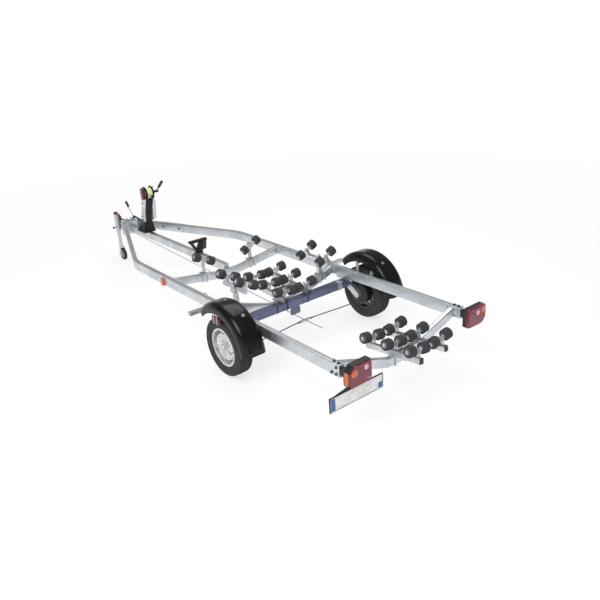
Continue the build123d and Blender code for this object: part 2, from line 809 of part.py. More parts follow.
def winch_stand():
    """Black winch stand on the drawbar, leaning back: a spread foot that narrows to a straight upper part."""
    foot = drawbar_top
    step = foot + stand_base_thickness
    waist = foot + stand_waist_rise
    half = stand_depth / 2
    base = stand_base_length / 2
    left = [(stand_base_half, foot), (stand_base_half, step),
            (winch_plate_half, waist), (winch_plate_half, stand_top_z)]
    right = [(-y, z) for y, z in reversed(left)]
    front = end_prism(left + right, stand_head_x - stand_base_length, stand_foot_x + stand_base_length)
    side = [(stand_foot_x - base, foot), (stand_foot_x + base, foot), (stand_foot_x + base, step),
            (stand_x(waist) + half, waist), (stand_head_x + half, stand_top_z),
            (stand_head_x - half, stand_top_z), (stand_x(waist) - half, waist), (stand_foot_x - base, step)]
    return front & side_prism(side, -stand_base_half, stand_base_half)


def winch_plates():
    """The winch's two galvanised side plates up to its shaft, with a spacer bar between them."""
    plate_y = winch_plate_half + winch_plate_thickness
    half = winch_plate_depth / 2
    low_x = stand_x(winch_plate_bottom)
    outline = [(low_x - half, winch_plate_bottom), (low_x + half, winch_plate_bottom),
               (winch_x + winch_plate_head, winch_axis_z), (winch_x - winch_plate_head, winch_axis_z)]
    plate = side_prism(outline, winch_plate_half, plate_y)
    plate += cross_rod(winch_x, winch_axis_z, winch_plate_half, plate_y, winch_plate_head)
    spacer_z = stand_top_z + spacer_radius
    spacer = cross_rod(stand_head_x, spacer_z, -plate_y, plate_y, spacer_radius)
    hole = cross_rod(winch_x, winch_axis_z, -2 * plate_y, 2 * plate_y, winch_shaft_radius + running_clearance)
    return plate + mirrored(plate) + spacer - hole


def winch_cover():
    """Maroon cover over the winch's brake, on the left side plate."""
    start = winch_plate_half + winch_plate_thickness
    cover = block((winch_cover_length, winch_cover_depth, winch_cover_height),
                  (winch_x, start + winch_cover_depth / 2, winch_axis_z))
    return fillet(cover.edges().filter_by(Axis.Y), winch_cover_length / 4)


def crank_place(y):
    """Where the crank arm starts, turned to its rest angle."""
    return Pos(winch_x, y, winch_axis_z) * Rot(0, -crank_angle, 0)


def winch_drum():
    """Drum, shaft, boss and crank arm, which turn together."""
    half = winch_plate_half - drum_side_gap
    shaft_start = winch_plate_half + winch_plate_thickness - drum_side_gap / 2
    boss_start = -(winch_plate_half + winch_plate_thickness + seat_gap)
    drum = cross_rod(winch_x, winch_axis_z, -crank_reach, shaft_start, winch_shaft_radius)
    drum += cross_rod(winch_x, winch_axis_z, -(crank_reach + crank_boss_radius), boss_start, crank_boss_radius)
    drum += cross_rod(winch_x, winch_axis_z, -half, half, drum_core_radius)
    for start in (-half, half - drum_flange_thickness):
        drum += cross_rod(winch_x, winch_axis_z, start, start + drum_flange_thickness, drum_flange_radius)
    return drum + crank_place(-crank_reach) * long_rod(0, 0, 0, crank_length, shaft_radius)


def winch_grip():
    """The crank's grip, on the arm's outer end."""
    grip = long_rod(0, 0, crank_length - grip_length, crank_length, grip_radius)
    grip = fillet(grip.edges().filter_by(GeomType.CIRCLE), grip_radius / 3)
    return crank_place(-crank_reach) * (grip - long_rod(0, 0, 0, 2 * crank_length, shaft_radius + seat_gap))


def winch_strap():
    """The wound strap on the drum, as one ring."""
    half = winch_plate_half - drum_side_gap - drum_flange_thickness - seat_gap
    ring = cross_rod(winch_x, winch_axis_z, -half, half, strap_radius)
    return ring - cross_rod(winch_x, winch_axis_z, -half, half, drum_core_radius + seat_gap)


# ---- Overrun coupling
def overrun_housing():
    """Overrun device's housing on the nose plate, with the handbrake's bracket on top."""
    body = block((housing_length, housing_width, housing_height), (nose_front + housing_length / 2, 0, head_z))
    bore_start = nose_front + nose_plate_thickness
    bore_end = nose_front + 2 * housing_length
    body = body - long_rod(0, head_z, bore_start, bore_end, draw_tube_radius + running_clearance)
    lever_x = nose_front + lever_bracket_length / 2
    lever_z = head_z + (housing_height + lever_bracket_height) / 2
    inner_y = -(housing_width - lever_thickness) / 2
    bracket = block((lever_bracket_length, lever_thickness, lever_bracket_height), (lever_x, inner_y, lever_z))
    pin_end = -(housing_width / 2 + lever_out - lever_thickness / 2 - seat_gap)
    return body + bracket + cross_rod(lever_x, lever_z, pin_end, inner_y, lever_pin_radius)


def bellows():
    """Folded rubber boot round the drawing tube."""
    start = nose_front + housing_length + seat_gap
    pitch = (bellows_length - 2 * seat_gap) / bellows_folds
    inner = draw_tube_radius + seat_gap
    outline = [(inner, 0)]
    for i in range(bellows_folds):
        outline += [(bellows_radius - bellows_groove, i * pitch), (bellows_radius, (i + 0.5) * pitch)]
    outline += [(bellows_radius - bellows_groove, bellows_folds * pitch), (inner, bellows_folds * pitch)]
    return Pos(start, 0, head_z) * Rot(0, 0, -90) * turned(outline)


def coupling_head():
    """Coupling head on its drawing tube, with a socket for the towing ball."""
    start = nose_front + housing_length + bellows_length
    ball_x = coupling_nose - socket_from_nose
    low = head_z - coupling_height / 2
    top = head_z + coupling_height / 2
    tube = long_rod(0, head_z, nose_front + 2 * nose_plate_thickness, (start + ball_x) / 2, draw_tube_radius)
    body = block((ball_x - start, coupling_width, coupling_height), ((start + ball_x) / 2, 0, head_z))
    cup = upright_rod(ball_x, 0, low, top, socket_radius + socket_wall)
    nose = block((socket_from_nose, 2 * socket_wall, coupling_height / 2),
                 (ball_x + socket_from_nose / 2, 0, top - coupling_height / 4))
    socket = upright_rod(ball_x, 0, 0, low + socket_depth, socket_radius)
    dome = Pos(ball_x, 0, low + socket_depth) * Sphere(socket_radius)
    return tube + body + cup + nose - socket - dome


def coupling_handle():
    """Hand grip of the coupling's latch, on top of the head."""
    radius = coupling_handle_radius
    x = nose_front + housing_length + bellows_length + radius
    low = head_z + coupling_height / 2 + seat_gap
    foot = upright_rod(x + 2 * radius, 0, low, low + 3 * radius, radius)
    grip = rod((x, 0, low + 3 * radius), (x + coupling_handle_length, 0, low + 4 * radius), radius)
    return foot + grip


def handbrake():
    """Handbrake lever with its grip, beside its bracket's pin."""
    foot_x = nose_front + lever_bracket_length / 2
    foot_z = head_z + (housing_height + lever_bracket_height) / 2
    lever = block((lever_length, lever_thickness, lever_width), ((lever_length - lever_width) / 2, 0, 0))
    start = lever_length - lever_width / 2
    lever += long_rod(0, 0, start, start + lever_grip_length, lever_grip_radius)
    return Pos(foot_x, -(housing_width / 2 + lever_out), foot_z) * Rot(0, -lever_angle, 0) * lever


# ---- Jockey wheel
def jockey_rod(z_low, z_high, radius):
    """An upright round bar on the jockey wheel's centre line."""
    return upright_rod(jockey_x, jockey_y, z_low, z_high, radius)


def jockey_sleeve():
    """Outer tube with its clamp on the coupling's housing and a closed top."""
    sleeve = jockey_rod(sleeve_bottom, sleeve_top, sleeve_radius)
    sleeve = sleeve - jockey_rod(sleeve_bottom, sleeve_top - rail_wall, leg_radius + running_clearance)
    clamp_y = jockey_y - (sleeve_radius + leg_radius) / 2
    side_y = housing_width / 2
    clamp = block((clamp_length, clamp_y - side_y, clamp_height), (jockey_x, (clamp_y + side_y) / 2, head_z))
    return sleeve + clamp


def jockey_cap():
    """Winding cap on top of the sleeve, with its crank arm and a handle that hangs from it."""
    cap = jockey_rod(sleeve_top, sleeve_top + sleeve_cap_height, sleeve_radius)
    cap = fillet(cap.edges().filter_by(GeomType.CIRCLE), sleeve_cap_height / 4)
    arm_z = sleeve_top + sleeve_cap_height / 2
    end_x = jockey_x - jockey_arm_length
    cap += long_rod(jockey_y, arm_z, end_x, jockey_x, jockey_arm_radius)
    return cap + upright_rod(end_x, jockey_y, arm_z - jockey_handle_length, arm_z + jockey_arm_radius,
                             jockey_handle_radius)


def jockey_knob():
    """Clamp's knob on the sleeve's outer side."""
    start = jockey_y + sleeve_radius
    return cross_rod(jockey_x, head_z, start, start + clamp_knob_length, clamp_knob_radius)


def jockey_leg():
    """Inner leg with the pin that the fork's crown turns on, headed below the crown."""
    head_top = leg_bottom - 2 * crown_gap - crown_thickness
    pin_end = head_top - stem_head_thickness
    leg = jockey_rod(leg_bottom, leg_top, leg_radius) + jockey_rod(pin_end, leg_bottom, stem_radius)
    return leg + jockey_rod(pin_end, head_top, washer_radius)


def jockey_fork():
    """Castor fork: crown with the leg's pin through it, two raked sides and the wheel's pin."""
    crown_top = leg_bottom - crown_gap
    side_y = castor_width / 2 + castor_side_gap
    axle_at = jockey_x - caster_trail
    half = fork_width / 2
    fork = block((fork_width, 2 * (side_y + fork_thickness), crown_thickness),
                 (jockey_x, jockey_y, crown_top - crown_thickness / 2))
    fork = fork - jockey_rod(crown_top - 2 * crown_thickness, crown_top + crown_thickness,
                             stem_radius + running_clearance)
    rake = [(jockey_x - half, crown_top), (jockey_x + half, crown_top),
            (axle_at + half, castor_radius - half), (axle_at - half, castor_radius - half)]
    for y in (jockey_y + side_y, jockey_y - side_y - fork_thickness):
        fork += side_prism(rake, y, y + fork_thickness)
    pin_half = side_y + fork_thickness + washer_thickness
    return fork + cross_rod(axle_at, castor_radius, jockey_y - pin_half, jockey_y + pin_half, castor_pin_radius)


def jockey_wheel():
    """Castor wheel with a rounded tread, bored for its pin."""
    wheel = Rot(90, 0, 0) * Cylinder(castor_radius, castor_width)
    wheel = fillet(wheel.edges().filter_by(GeomType.CIRCLE), castor_edge)
    wheel = wheel - Rot(90, 0, 0) * Cylinder(castor_pin_radius + running_clearance, 2 * castor_width)
    return Pos(jockey_x - caster_trail, jockey_y, castor_radius) * wheel


# ---- Lamps and number plate
def lamp_outline(margin):
    """A lamp's outline about its own middle, with its left upper corner cut off."""
    wide = lamp_width / 2 - margin
    tall = lamp_height / 2 - margin
    return [(-wide, -tall), (wide, -tall), (wide, tall - lamp_cut), (wide - lamp_cut, tall), (-wide, tall)]


def lamp_places():
    """Both lamps' middles; the right one is the left one turned upside down."""
    return (Pos(0, lamp_left_y, lamp_centre_z), Pos(0, -lamp_right_y, lamp_centre_z) * Rot(180, 0, 0))


def lamp_housings():
    """The lamps' black housings, each on an arm off the rail's rear end."""
    length = rail_rear_x - lamp_back_x
    body = end_prism(lamp_outline(0), lamp_back_x - lamp_depth, lamp_back_x)
    arms = [block((length, lamp_arm_width, lamp_arm_height), (lamp_back_x + length / 2, side * rail_y, rail_z))
            for side in (1, -1)]
    return [place * body + arm for place, arm in zip(lamp_places(), arms)]


def lamp_lenses():
    """The lamps' lenses on the rear faces of the housings."""
    start = lamp_back_x - lamp_depth
    lens = end_prism(lamp_outline(lens_margin), start - lens_depth, start)
    return [place * lens for place in lamp_places()]


def plate_holder():
    """Black holder under the left lamp, with sloped shoulders and a lip round the number plate's back."""
    top_z = lamp_centre_z - lamp_height / 2
    plate_top = top_z - plate_drop
    x = lamp_back_x - lamp_depth / 2
    back = block((plate_frame_thickness, plate_width + 2 * plate_frame_margin, plate_height + 2 * plate_frame_margin),
                 (x, plate_y, plate_top - plate_height / 2))
    shoulders = [(plate_y + plate_width / 2, plate_top), (lamp_left_y + lamp_width / 2, top_z),
                 (lamp_left_y - lamp_width / 4, top_z), (lamp_left_y - lamp_width / 4, plate_top)]
    return back + end_prism(shoulders, x - plate_frame_thickness / 2, x + plate_frame_thickness / 2)


def number_plate():
    """Blank number plate on its holder."""
    plate_z = lamp_centre_z - lamp_height / 2 - plate_drop - plate_height / 2
    x = lamp_back_x - lamp_depth / 2 - plate_frame_thickness / 2 - plate_thickness / 2
    plate = block((plate_thickness, plate_width, plate_height), (x, plate_y, plate_z))
    return fillet(plate.edges().filter_by(Axis.X), plate_corner)


def side_marker():
    """Left amber marker on the rail's outer face."""
    marker = block((marker_length, marker_depth, marker_height),
                   (marker_x, rail_outer + marker_depth / 2, rail_z - marker_drop))
    return fillet(marker.edges().filter_by(Axis.Y), marker_depth / 3)


# ---- Brake linkage and cables
def brake_linkage():
    """Brake rod under the drawbar to the equaliser bar behind the axle, with its threaded tail."""
    pull = rod((nose_x - seat_gap, 0, rod_front_z), (rod_rear_x, 0, rod_rear_z), rod_radius)
    pull += long_rod(0, rod_rear_z, rod_rear_x - rod_tail_length, rod_rear_x, rod_radius)
    bar = block((equaliser_size, 2 * equaliser_half, equaliser_size), (rod_rear_x, 0, rod_rear_z))
    return pull + bar


def brake_cable():
    """Left brake cable, from the equaliser's end to the backplate's inner face."""
    face_y = axle_end + arm_width
    points = [(rod_rear_x, equaliser_half, rod_rear_z), (rod_rear_x, equaliser_half + cable_lead, rod_rear_z),
              (cable_bow_x, (equaliser_half + face_y) / 2, (rod_rear_z + cable_end_z) / 2),
              (cable_end_x, face_y - cable_boot, cable_end_z), (cable_end_x, face_y, cable_end_z)]
    return round_run(points, cable_bends, cable_radius)


# ---- Write every node
os.makedirs("parts", exist_ok=True)

left_rail = side_rail()
save("side_rail_left", left_rail)
save("side_rail_right", mirrored(left_rail))
save("drawbar", drawbar())
save("crossmember_front", crossmember(front_member_x, front_member_z))
save("crossmember_middle", crossmember(middle_member_x, middle_member_z))
save("crossmember_rear", crossmember(rear_member_x, rear_member_z))

save("axle_tube", axle())
arm = trailing_arm()
save("trailing_arms", arm, mirrored(arm))
wheel_place = Pos(0, track_half, wheel_radius)
for node, shape in (("tyre", tyre()), ("rim", rim()), ("brake_drum", brake_drum())):
    placed = wheel_place * shape
    save(f"{node}_left", placed)
    save(f"{node}_right", mirrored(placed))

left_fender = fender()
save("fenders", left_fender, mirrored(left_fender))
stays = [fender_stay(angle) for angle in fender_stay_angles] + [guard_bar()]
save("fender_stays", *stays, *[mirrored(stay) for stay in stays])

cradles = (("rear", rear_member_x, rear_member_z, rear_pivot_x, rear_pivot_z, rear_tilt, cradle_roller_offset),
           ("middle", middle_member_x, middle_member_z, middle_pivot_x, middle_pivot_z, middle_tilt,
            middle_inner_offset))
carriers = []
for name, member_x, member_z, pivot_x, pivot_z, tilt, inner_offset in cradles:
    place = Pos(pivot_x, 0, pivot_z) * Rot(0, tilt, 0)
    save(f"{name}_cradle_frame", place * cradle_frame(inner_offset))
    save(f"{name}_cradle_rollers", *[place * one for one in cradle_rollers(inner_offset)])
    carriers.append(cradle_carrier(member_x, member_z, pivot_x, pivot_z))
save("cradle_carriers", *carriers)

posts = [outer_post(), front_post()]
save("roller_posts", *posts, *[mirrored(post) for post in posts])
for name, side in (("left", 1), ("right", -1)):
    save(f"outer_cradle_frame_{name}", outer_place(side) * outer_frame())
    save(f"outer_cradle_rollers_{name}", *[outer_place(side) * one for one in outer_rollers()])
    save(f"front_rocker_frame_{name}", front_place(side) * front_frame())
    save(f"front_rocker_rollers_{name}", *[front_place(side) * one for one in front_rollers()])

save("keel_rest", keel_rest())
save("winch_stand", winch_stand())
save("winch_plates", winch_plates())
save("winch_cover", winch_cover())
save("winch_drum", winch_drum())
save("winch_grip", winch_grip())
save("winch_strap", winch_strap())

save("overrun_housing", overrun_housing())
save("bellows", bellows())
save("coupling_head", coupling_head())
save("coupling_handle", coupling_handle())
save("handbrake_lever", handbrake())

save("jockey_sleeve", jockey_sleeve())
save("jockey_cap", jockey_cap(), jockey_knob())
save("jockey_leg", jockey_leg())
save("jockey_fork", jockey_fork())
save("jockey_wheel", jockey_wheel())

save("lamp_housings", *lamp_housings())
save("lamp_lenses", *lamp_lenses())
marker = side_marker()
save("side_markers", marker, mirrored(marker))
save("plate_holder", plate_holder())
save("number_plate", number_plate())
save("brake_linkage", brake_linkage())
cable = brake_cable()
save("brake_cables", cable, mirrored(cable))
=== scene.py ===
"""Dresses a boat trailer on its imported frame, and sets up its floor, light and camera."""

import logging
import math
from dataclasses import dataclass, field
from enum import Enum

import bmesh
import bpy
import numpy as np
from mathutils import Matrix, Vector


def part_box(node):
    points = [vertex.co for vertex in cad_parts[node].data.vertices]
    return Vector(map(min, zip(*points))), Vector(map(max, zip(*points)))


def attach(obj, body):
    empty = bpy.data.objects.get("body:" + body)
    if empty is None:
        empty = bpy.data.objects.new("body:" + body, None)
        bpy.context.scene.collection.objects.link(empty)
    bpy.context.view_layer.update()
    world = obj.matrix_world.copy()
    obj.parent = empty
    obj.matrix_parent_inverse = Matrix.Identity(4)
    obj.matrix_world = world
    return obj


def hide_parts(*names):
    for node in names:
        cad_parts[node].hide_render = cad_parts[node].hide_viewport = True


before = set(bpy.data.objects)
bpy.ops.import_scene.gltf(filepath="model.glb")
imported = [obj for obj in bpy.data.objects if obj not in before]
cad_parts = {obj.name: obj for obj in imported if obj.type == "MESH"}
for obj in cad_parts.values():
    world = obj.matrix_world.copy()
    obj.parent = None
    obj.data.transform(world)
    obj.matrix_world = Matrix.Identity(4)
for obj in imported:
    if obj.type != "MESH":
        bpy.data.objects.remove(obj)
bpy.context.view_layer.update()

LOG = logging.getLogger("boat_trailer")
MM_PER_M = 1000.0
Array = np.ndarray
Point = tuple[float, float, float]
Profile = tuple[tuple[float, float], ...]
Socket = bpy.types.NodeSocket

# Stations are in millimetres: X forward of the wheel centre line, Y to the left, Z up from the ground.
WHEEL_LINE_M = sum(corner.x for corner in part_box("tyre_left")) / 2


class Side(Enum):
    """The two sides of the trailer; the value is the sign of Y."""

    LEFT = 1
    RIGHT = -1

    @property
    def word(self) -> str:
        """The side's name as the nodes and bodies spell it."""
        return self.name.lower()


# ---- Places: 4 x 4 matrices in millimetres

def shift(x: float, y: float, z: float) -> Array:
    """A place moved and not turned.

    Args:
        x: How far forward.
        y: How far to the left.
        z: How far up.

    Returns:
        The place as a 4 x 4 matrix.
    """
    place = np.eye(4)
    place[:3, 3] = (x, y, z)
    return place


def turn(axis: str, degrees: float) -> Array:
    """A place turned about one axis through the origin."""
    return np.array(Matrix.Rotation(math.radians(degrees), 4, axis))


def facing(origin: Point, axis: Point, spin: float = 0.0) -> Array:
    """A place at origin whose own Z runs along axis.

    Args:
        origin: Where the place lies, in millimetres.
        axis: The direction of the place's Z.
        spin: Turn about that Z, in degrees.

    Returns:
        The place as a 4 x 4 matrix.
    """
    z = np.asarray(axis, float) / np.linalg.norm(axis)
    helper = np.array([0.0, 0.0, 1.0]) if abs(z[2]) < 0.9 else np.array([1.0, 0.0, 0.0])
    x = np.cross(helper, z)
    x /= np.linalg.norm(x)
    place = np.eye(4)
    place[:3, 0], place[:3, 1], place[:3, 2], place[:3, 3] = x, np.cross(z, x), z, origin
    return place @ turn("Z", spin)


def put(points: Array, place: Array) -> Array:
    """The points carried into a place: p becomes R p + t."""
    return points @ place[:3, :3].T + place[:3, 3]


# ---- Outlines and lines

def mirrored(half: list[tuple[float, float]]) -> list[tuple[float, float]]:
    """A profile of (radius, height) and its mirror image below: (r, h), ..., (r, -h) in turned order."""
    return half + [(radius, -height) for radius, height in reversed(half)]


def rounded_rectangle(width: float, height: float, radius: float, steps: int = 4) -> Array:
    """Outline of a rectangle with quarter-circle corners, centred, anticlockwise.

    Args:
        width: Full size along the first coordinate.
        height: Full size along the second coordinate.
        radius: Corner radius.
        steps: Points on each corner, less one.

    Returns:
        Array of (n, 2) points: corner centre + radius * (cos a, sin a), for four quarters of a.
    """
    angle = np.linspace(0, np.pi / 2, steps + 1)
    quarters = []
    for k, (sx, sy) in enumerate(((1, 1), (-1, 1), (-1, -1), (1, -1))):
        a = angle + k * np.pi / 2
        centre = np.array([sx * (width / 2 - radius), sy * (height / 2 - radius)])
        quarters.append(centre + radius * np.stack([np.cos(a), np.sin(a)], 1))
    return np.concatenate(quarters)


def rounded_outline(corners: list[tuple[float, float]], radius: float, steps: int = 3) -> Array:
    """A closed outline with every corner rounded.

    Args:
        corners: Points of the outline, anticlockwise.
        radius: How far back from a corner its curve starts, at most a third of either run.
        steps: Points on each curve, less one.

    Returns:
        Array of (n, 2) points: at a corner C with curve ends A and B, (1-t)^2 A + 2t(1-t) C + t^2 B.
    """
    corner = np.array(corners, float)
    before, after = np.roll(corner, 1, 0) - corner, np.roll(corner, -1, 0) - corner
    long_before, long_after = np.linalg.norm(before, axis=1), np.linalg.norm(after, axis=1)
    reach = np.minimum(radius, np.minimum(long_before, long_after) / 3)
    start = corner + before * (reach / long_before)[:, None]
    end = corner + after * (reach / long_after)[:, None]
    t = np.linspace(0, 1, steps + 1)[None, :, None]
    curve = (1 - t) ** 2 * start[:, None] + 2 * t * (1 - t) * corner[:, None] + t ** 2 * end[:, None]
    return curve.reshape(-1, 2)


def bent_line(corners: list[Point], radius: float, steps: int = 10) -> Array:
    """A line through corners, each rounded by a tangent arc.

    Args:
        corners: Three or more points, the first and last of them the ends. Each corner has to bend: for one that
            is straight, a + b is nought and the points aren't finite.
        radius: Radius of every arc.
        steps: Points on each arc, less one.

    Returns:
        Array of (n, 3) points: at a corner with unit runs a and b and half angle h between them, the arc is
        centre + radius * (sin t * n - cos t * m), from one tangent point to the other.
    """
    points = [np.asarray(c, float) for c in corners]
    line = [points[0]]
    for before, corner, after in zip(points, points[1:], points[2:]):
        a = (before - corner) / np.linalg.norm(before - corner)
        b = (after - corner) / np.linalg.norm(after - corner)
        half = math.acos(float(np.clip(a @ b, -1, 1))) / 2
        middle = (a + b) / np.linalg.norm(a + b)
        centre = corner + middle * radius / math.sin(half)
        cross = (b - a) / np.linalg.norm(b - a)
        sweep = np.linspace(-(np.pi / 2 - half), np.pi / 2 - half, steps + 1)
        line.extend(centre + radius * (np.outer(np.sin(sweep), cross) - np.outer(np.cos(sweep), middle)))
    line.append(points[-1])
    return np.array(line)


@dataclass(frozen=True)
class Fastener:
    """Sizes of a hexagon bolt or nut: across its flats, head height, washer radius and thread past the nut."""

    across: float
    head: float
    washer: float
    stub: float = 0.0


@dataclass
class Surface:
    """Points and four-sided faces of one piece, gathered from grids in millimetres."""

    points: list[Array] = field(default_factory=list)
    faces: list[Array] = field(default_factory=list)
    count: int = 0

    def grid(self, points: Array, place: Array | None = None, round_u: bool = False, round_v: bool = False) -> None:
        """Adds a sheet of points; each face joins (u, v), (u+1, v), (u+1, v+1) and (u, v+1).

        Args:
            points: Array of (nu, nv, 3).
            place: Where the sheet goes, or None to leave it.
            round_u: Joins the last row to the first.
            round_v: Joins the last column to the first.
        """
        index = self.count + np.arange(points.shape[0] * points.shape[1]).reshape(points.shape[:2])
        if round_u:
            index = np.concatenate([index, index[:1]])
        if round_v:
            index = np.concatenate([index, index[:, :1]], 1)
        quads = np.stack([index[:-1, :-1], index[1:, :-1], index[1:, 1:], index[:-1, 1:]], -1)
        flat = points.reshape(-1, 3)
        self.points.append(flat if place is None else put(flat, place))
        self.faces.append(quads.reshape(-1, 4))
        self.count += len(flat)

    def close(self, *rings: Array) -> None:
        """Closes rings of (n, 3) points, each by faces from the ring to its middle point."""
        for ring in rings:
            self.grid(np.stack([ring, np.broadcast_to(ring.mean(0), ring.shape)]), round_v=True)

    def turned(self, profile: list[tuple[float, float]] | Profile, place: Array, steps: int = 32,
               ring: bool = False) -> None:
        """Adds a profile turned about the place's Z: (r, h) at angle a becomes (r cos a, r sin a, h).

        Args:
            profile: Points of (radius, height); a ring's profile closes on itself, another starts and ends at r = 0.
            place: Where the turned shape goes.
            steps: Flats round the axis.
            ring: Closes the profile on itself.
        """
        radius, height = np.array(profile, float).T
        angle = np.arange(steps) * 2 * np.pi / steps
        points = np.stack([np.outer(np.cos(angle), radius), np.outer(np.sin(angle), radius),
                           np.broadcast_to(height, (steps, len(height)))], -1)
        self.grid(points, place, round_u=True, round_v=ring)

    def carried(self, section: Array, spine: Array, side: Point, first: tuple[int, float] | None = None,
                last: tuple[int, float] | None = None) -> None:
        """Adds a closed section carried along a spine, with both ends closed.

        A section point (a, b) at a spine point P with tangent T becomes P + a * side + b * (T x side).

        Args:
            section: Outline of (n, 2) points.
            spine: Array of (m, 3) points.
            side: Unit direction of the section's first coordinate, square to every tangent.
            first: Axis number and value of a plane that the first end is slid to along its tangent.
            last: The same for the last end.
        """
        tangent = np.gradient(spine, axis=0)
        tangent[0], tangent[-1] = spine[1] - spine[0], spine[-1] - spine[-2]
        tangent /= np.linalg.norm(tangent, axis=1, keepdims=True)
        across = np.asarray(side, float)
        upward = np.cross(tangent, across)
        rings = spine[:, None] + section[:, 0, None] * across + section[None, :, 1, None] * upward[:, None]
        for end, plane in ((0, first), (-1, last)):
            if plane is not None:
                axis, value = plane
                rings[end] += np.outer((value - rings[end][:, axis]) / tangent[end, axis], tangent[end])
        centres = rings.mean(1, keepdims=True)
        closed = [np.broadcast_to(centres[:1], rings[:1].shape), rings,
                  np.broadcast_to(centres[-1:], rings[-1:].shape)]
        self.grid(np.concatenate(closed), round_v=True)

    def plate(self, outline: Array, thickness: float, place: Array, edge: float = 1.0) -> None:
        """Adds a flat plate from h = 0 to its thickness, its outline drawn in by edge at both faces.

        Args:
            outline: Array of (n, 2) points round the plate.
            thickness: How far it reaches along the place's Z.
            place: Where the plate goes.
            edge: Size of the broken edge.
        """
        middle = outline.mean(0)
        reach = np.abs(outline - middle).max(0)
        inner = middle + (outline - middle) * (1 - edge / reach)
        rows = [(middle + 0 * outline, 0.0), (inner, 0.0), (outline, edge), (outline, thickness - edge),
                (inner, thickness), (middle + 0 * outline, thickness)]
        points = np.stack([np.concatenate([flat, np.full((len(flat), 1), height)], 1) for flat, height in rows])
        self.grid(points, place, round_v=True)

    def rod(self, start: Point, end: Point, radius: float, steps: int = 16, edge: float = 0.8) -> None:
        """Adds a round bar with broken edges, turned about the line between two points.

        Args:
            start: One end's middle.
            end: The other end's middle.
            radius: The bar's radius.
            steps: Flats round the bar.
            edge: Size of the broken edge.
        """
        along = np.subtract(end, start)
        length = float(np.linalg.norm(along))
        profile = [(0, 0), (radius - edge, 0), (radius, edge), (radius, length - edge), (radius - edge, length),
                   (0, length)]
        self.turned(profile, facing(start, along), steps)

    def bolt(self, origin: Point, axis: Point, size: Fastener) -> None:
        """Adds a hexagon head or nut on a washer, turned shapes of 6 and 20 flats, with a ridged thread past it.

        Args:
            origin: Where the washer sits.
            axis: The way that the head faces.
            size: The fastener's sizes; a stub of 0 leaves the thread out.
        """
        place = facing(origin, axis, spin=15)
        washer, head, thick = size.washer, size.head, 2.5
        corner = size.across / math.sqrt(3)
        self.turned([(0, 0), (washer - 0.5, 0), (washer, 0.5), (washer, 2), (washer - 0.5, thick), (0, thick)],
                    place, 20)
        self.turned([(0, 2), (corner, 2), (corner, 1.2 + head), (corner * 0.86, thick + head), (0, thick + head)],
                    place, 6)
        if size.stub:
            crest, root, turns = size.across * 0.27, size.across * 0.24, 8
            ridge = [(root if k % 2 else crest, 2 + head + k * size.stub / turns) for k in range(turns + 1)]
            self.turned([(0, 2 + head), *ridge, (0, 2 + head + size.stub)], place, 12)

    def piece(self, name: str, finish: "Finish", body: str, sharp_degrees: float = 38.0) -> bpy.types.Object:
        """Makes the gathered faces one object that rides on a body.

        Args:
            name: The object's name.
            finish: What it is made of.
            body: The CAD body that it moves with.
            sharp_degrees: Faces that meet at more than this keep a sharp edge.

        Returns:
            The object, at the origin, with its place in its mesh.
        """
        metres = np.concatenate(self.points) / MM_PER_M + (WHEEL_LINE_M, 0, 0)
        mesh = bpy.data.meshes.new(name)
        mesh.from_pydata(metres, [], np.concatenate(self.faces))
        work = bmesh.new()
        work.from_mesh(mesh)
        bmesh.ops.remove_doubles(work, verts=work.verts, dist=2e-6)
        bmesh.ops.recalc_face_normals(work, faces=work.faces)
        work.to_mesh(mesh)
        work.free()
        mesh.shade_smooth()
        mesh.set_sharp_from_angle(angle=math.radians(sharp_degrees))
        mesh.materials.append(finish.material())
        thing = bpy.data.objects.new(name, mesh)
        bpy.context.scene.collection.objects.link(thing)
        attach(thing, body)
        LOG.info("%s: %d faces on %s", name, len(mesh.polygons), body)
        return thing


# ---- Finishes

def linear(colour: str) -> tuple[float, float, float, float]:
    """An sRGB hex colour as linear red, green, blue and alpha 1."""
    parts = [int(colour[k:k + 2], 16) / 255 for k in (1, 3, 5)]
    return (*[v / 12.92 if v <= 0.04045 else ((v + 0.055) / 1.055) ** 2.4 for v in parts], 1.0)


def toned(colour: str, share: float = 1.0, lift: int = 0) -> str:
    """An sRGB hex colour with each channel times a share, plus a lift, at most 255."""
    return "#" + "".join(f"{min(255, int(int(colour[k:k + 2], 16) * share) + lift):02x}" for k in (1, 3, 5))


def per_metre(millimetres: float) -> float:
    """A texture's scale for a pattern that repeats every so many millimetres."""
    return MM_PER_M / millimetres


def node(tree: bpy.types.NodeTree, kind: str, settings: dict[str | int, object] | None = None,
         **links: object) -> bpy.types.Node:
    """Adds a node, sets it up and joins its inputs.

    Args:
        tree: The material's or world's node tree.
        kind: Node type, such as "ShaderNodeMix".
        settings: Attributes of the node, and values of its inputs under their names or numbers.
        links: Inputs by name, with _ for a space, or as i0, i1, ... by number; each an output socket.

    Returns:
        The node.
    """
    made = tree.nodes.new(kind)
    for key, value in (settings or {}).items():
        if isinstance(key, int) or key in made.inputs:
            made.inputs[key].default_value = value
        else:
            setattr(made, key, value)
    for key, socket in links.items():
        target = int(key[1:]) if key[0] == "i" and key[1:].isdigit() else key.replace("_", " ")
        tree.links.new(socket, made.inputs[target])
    return made


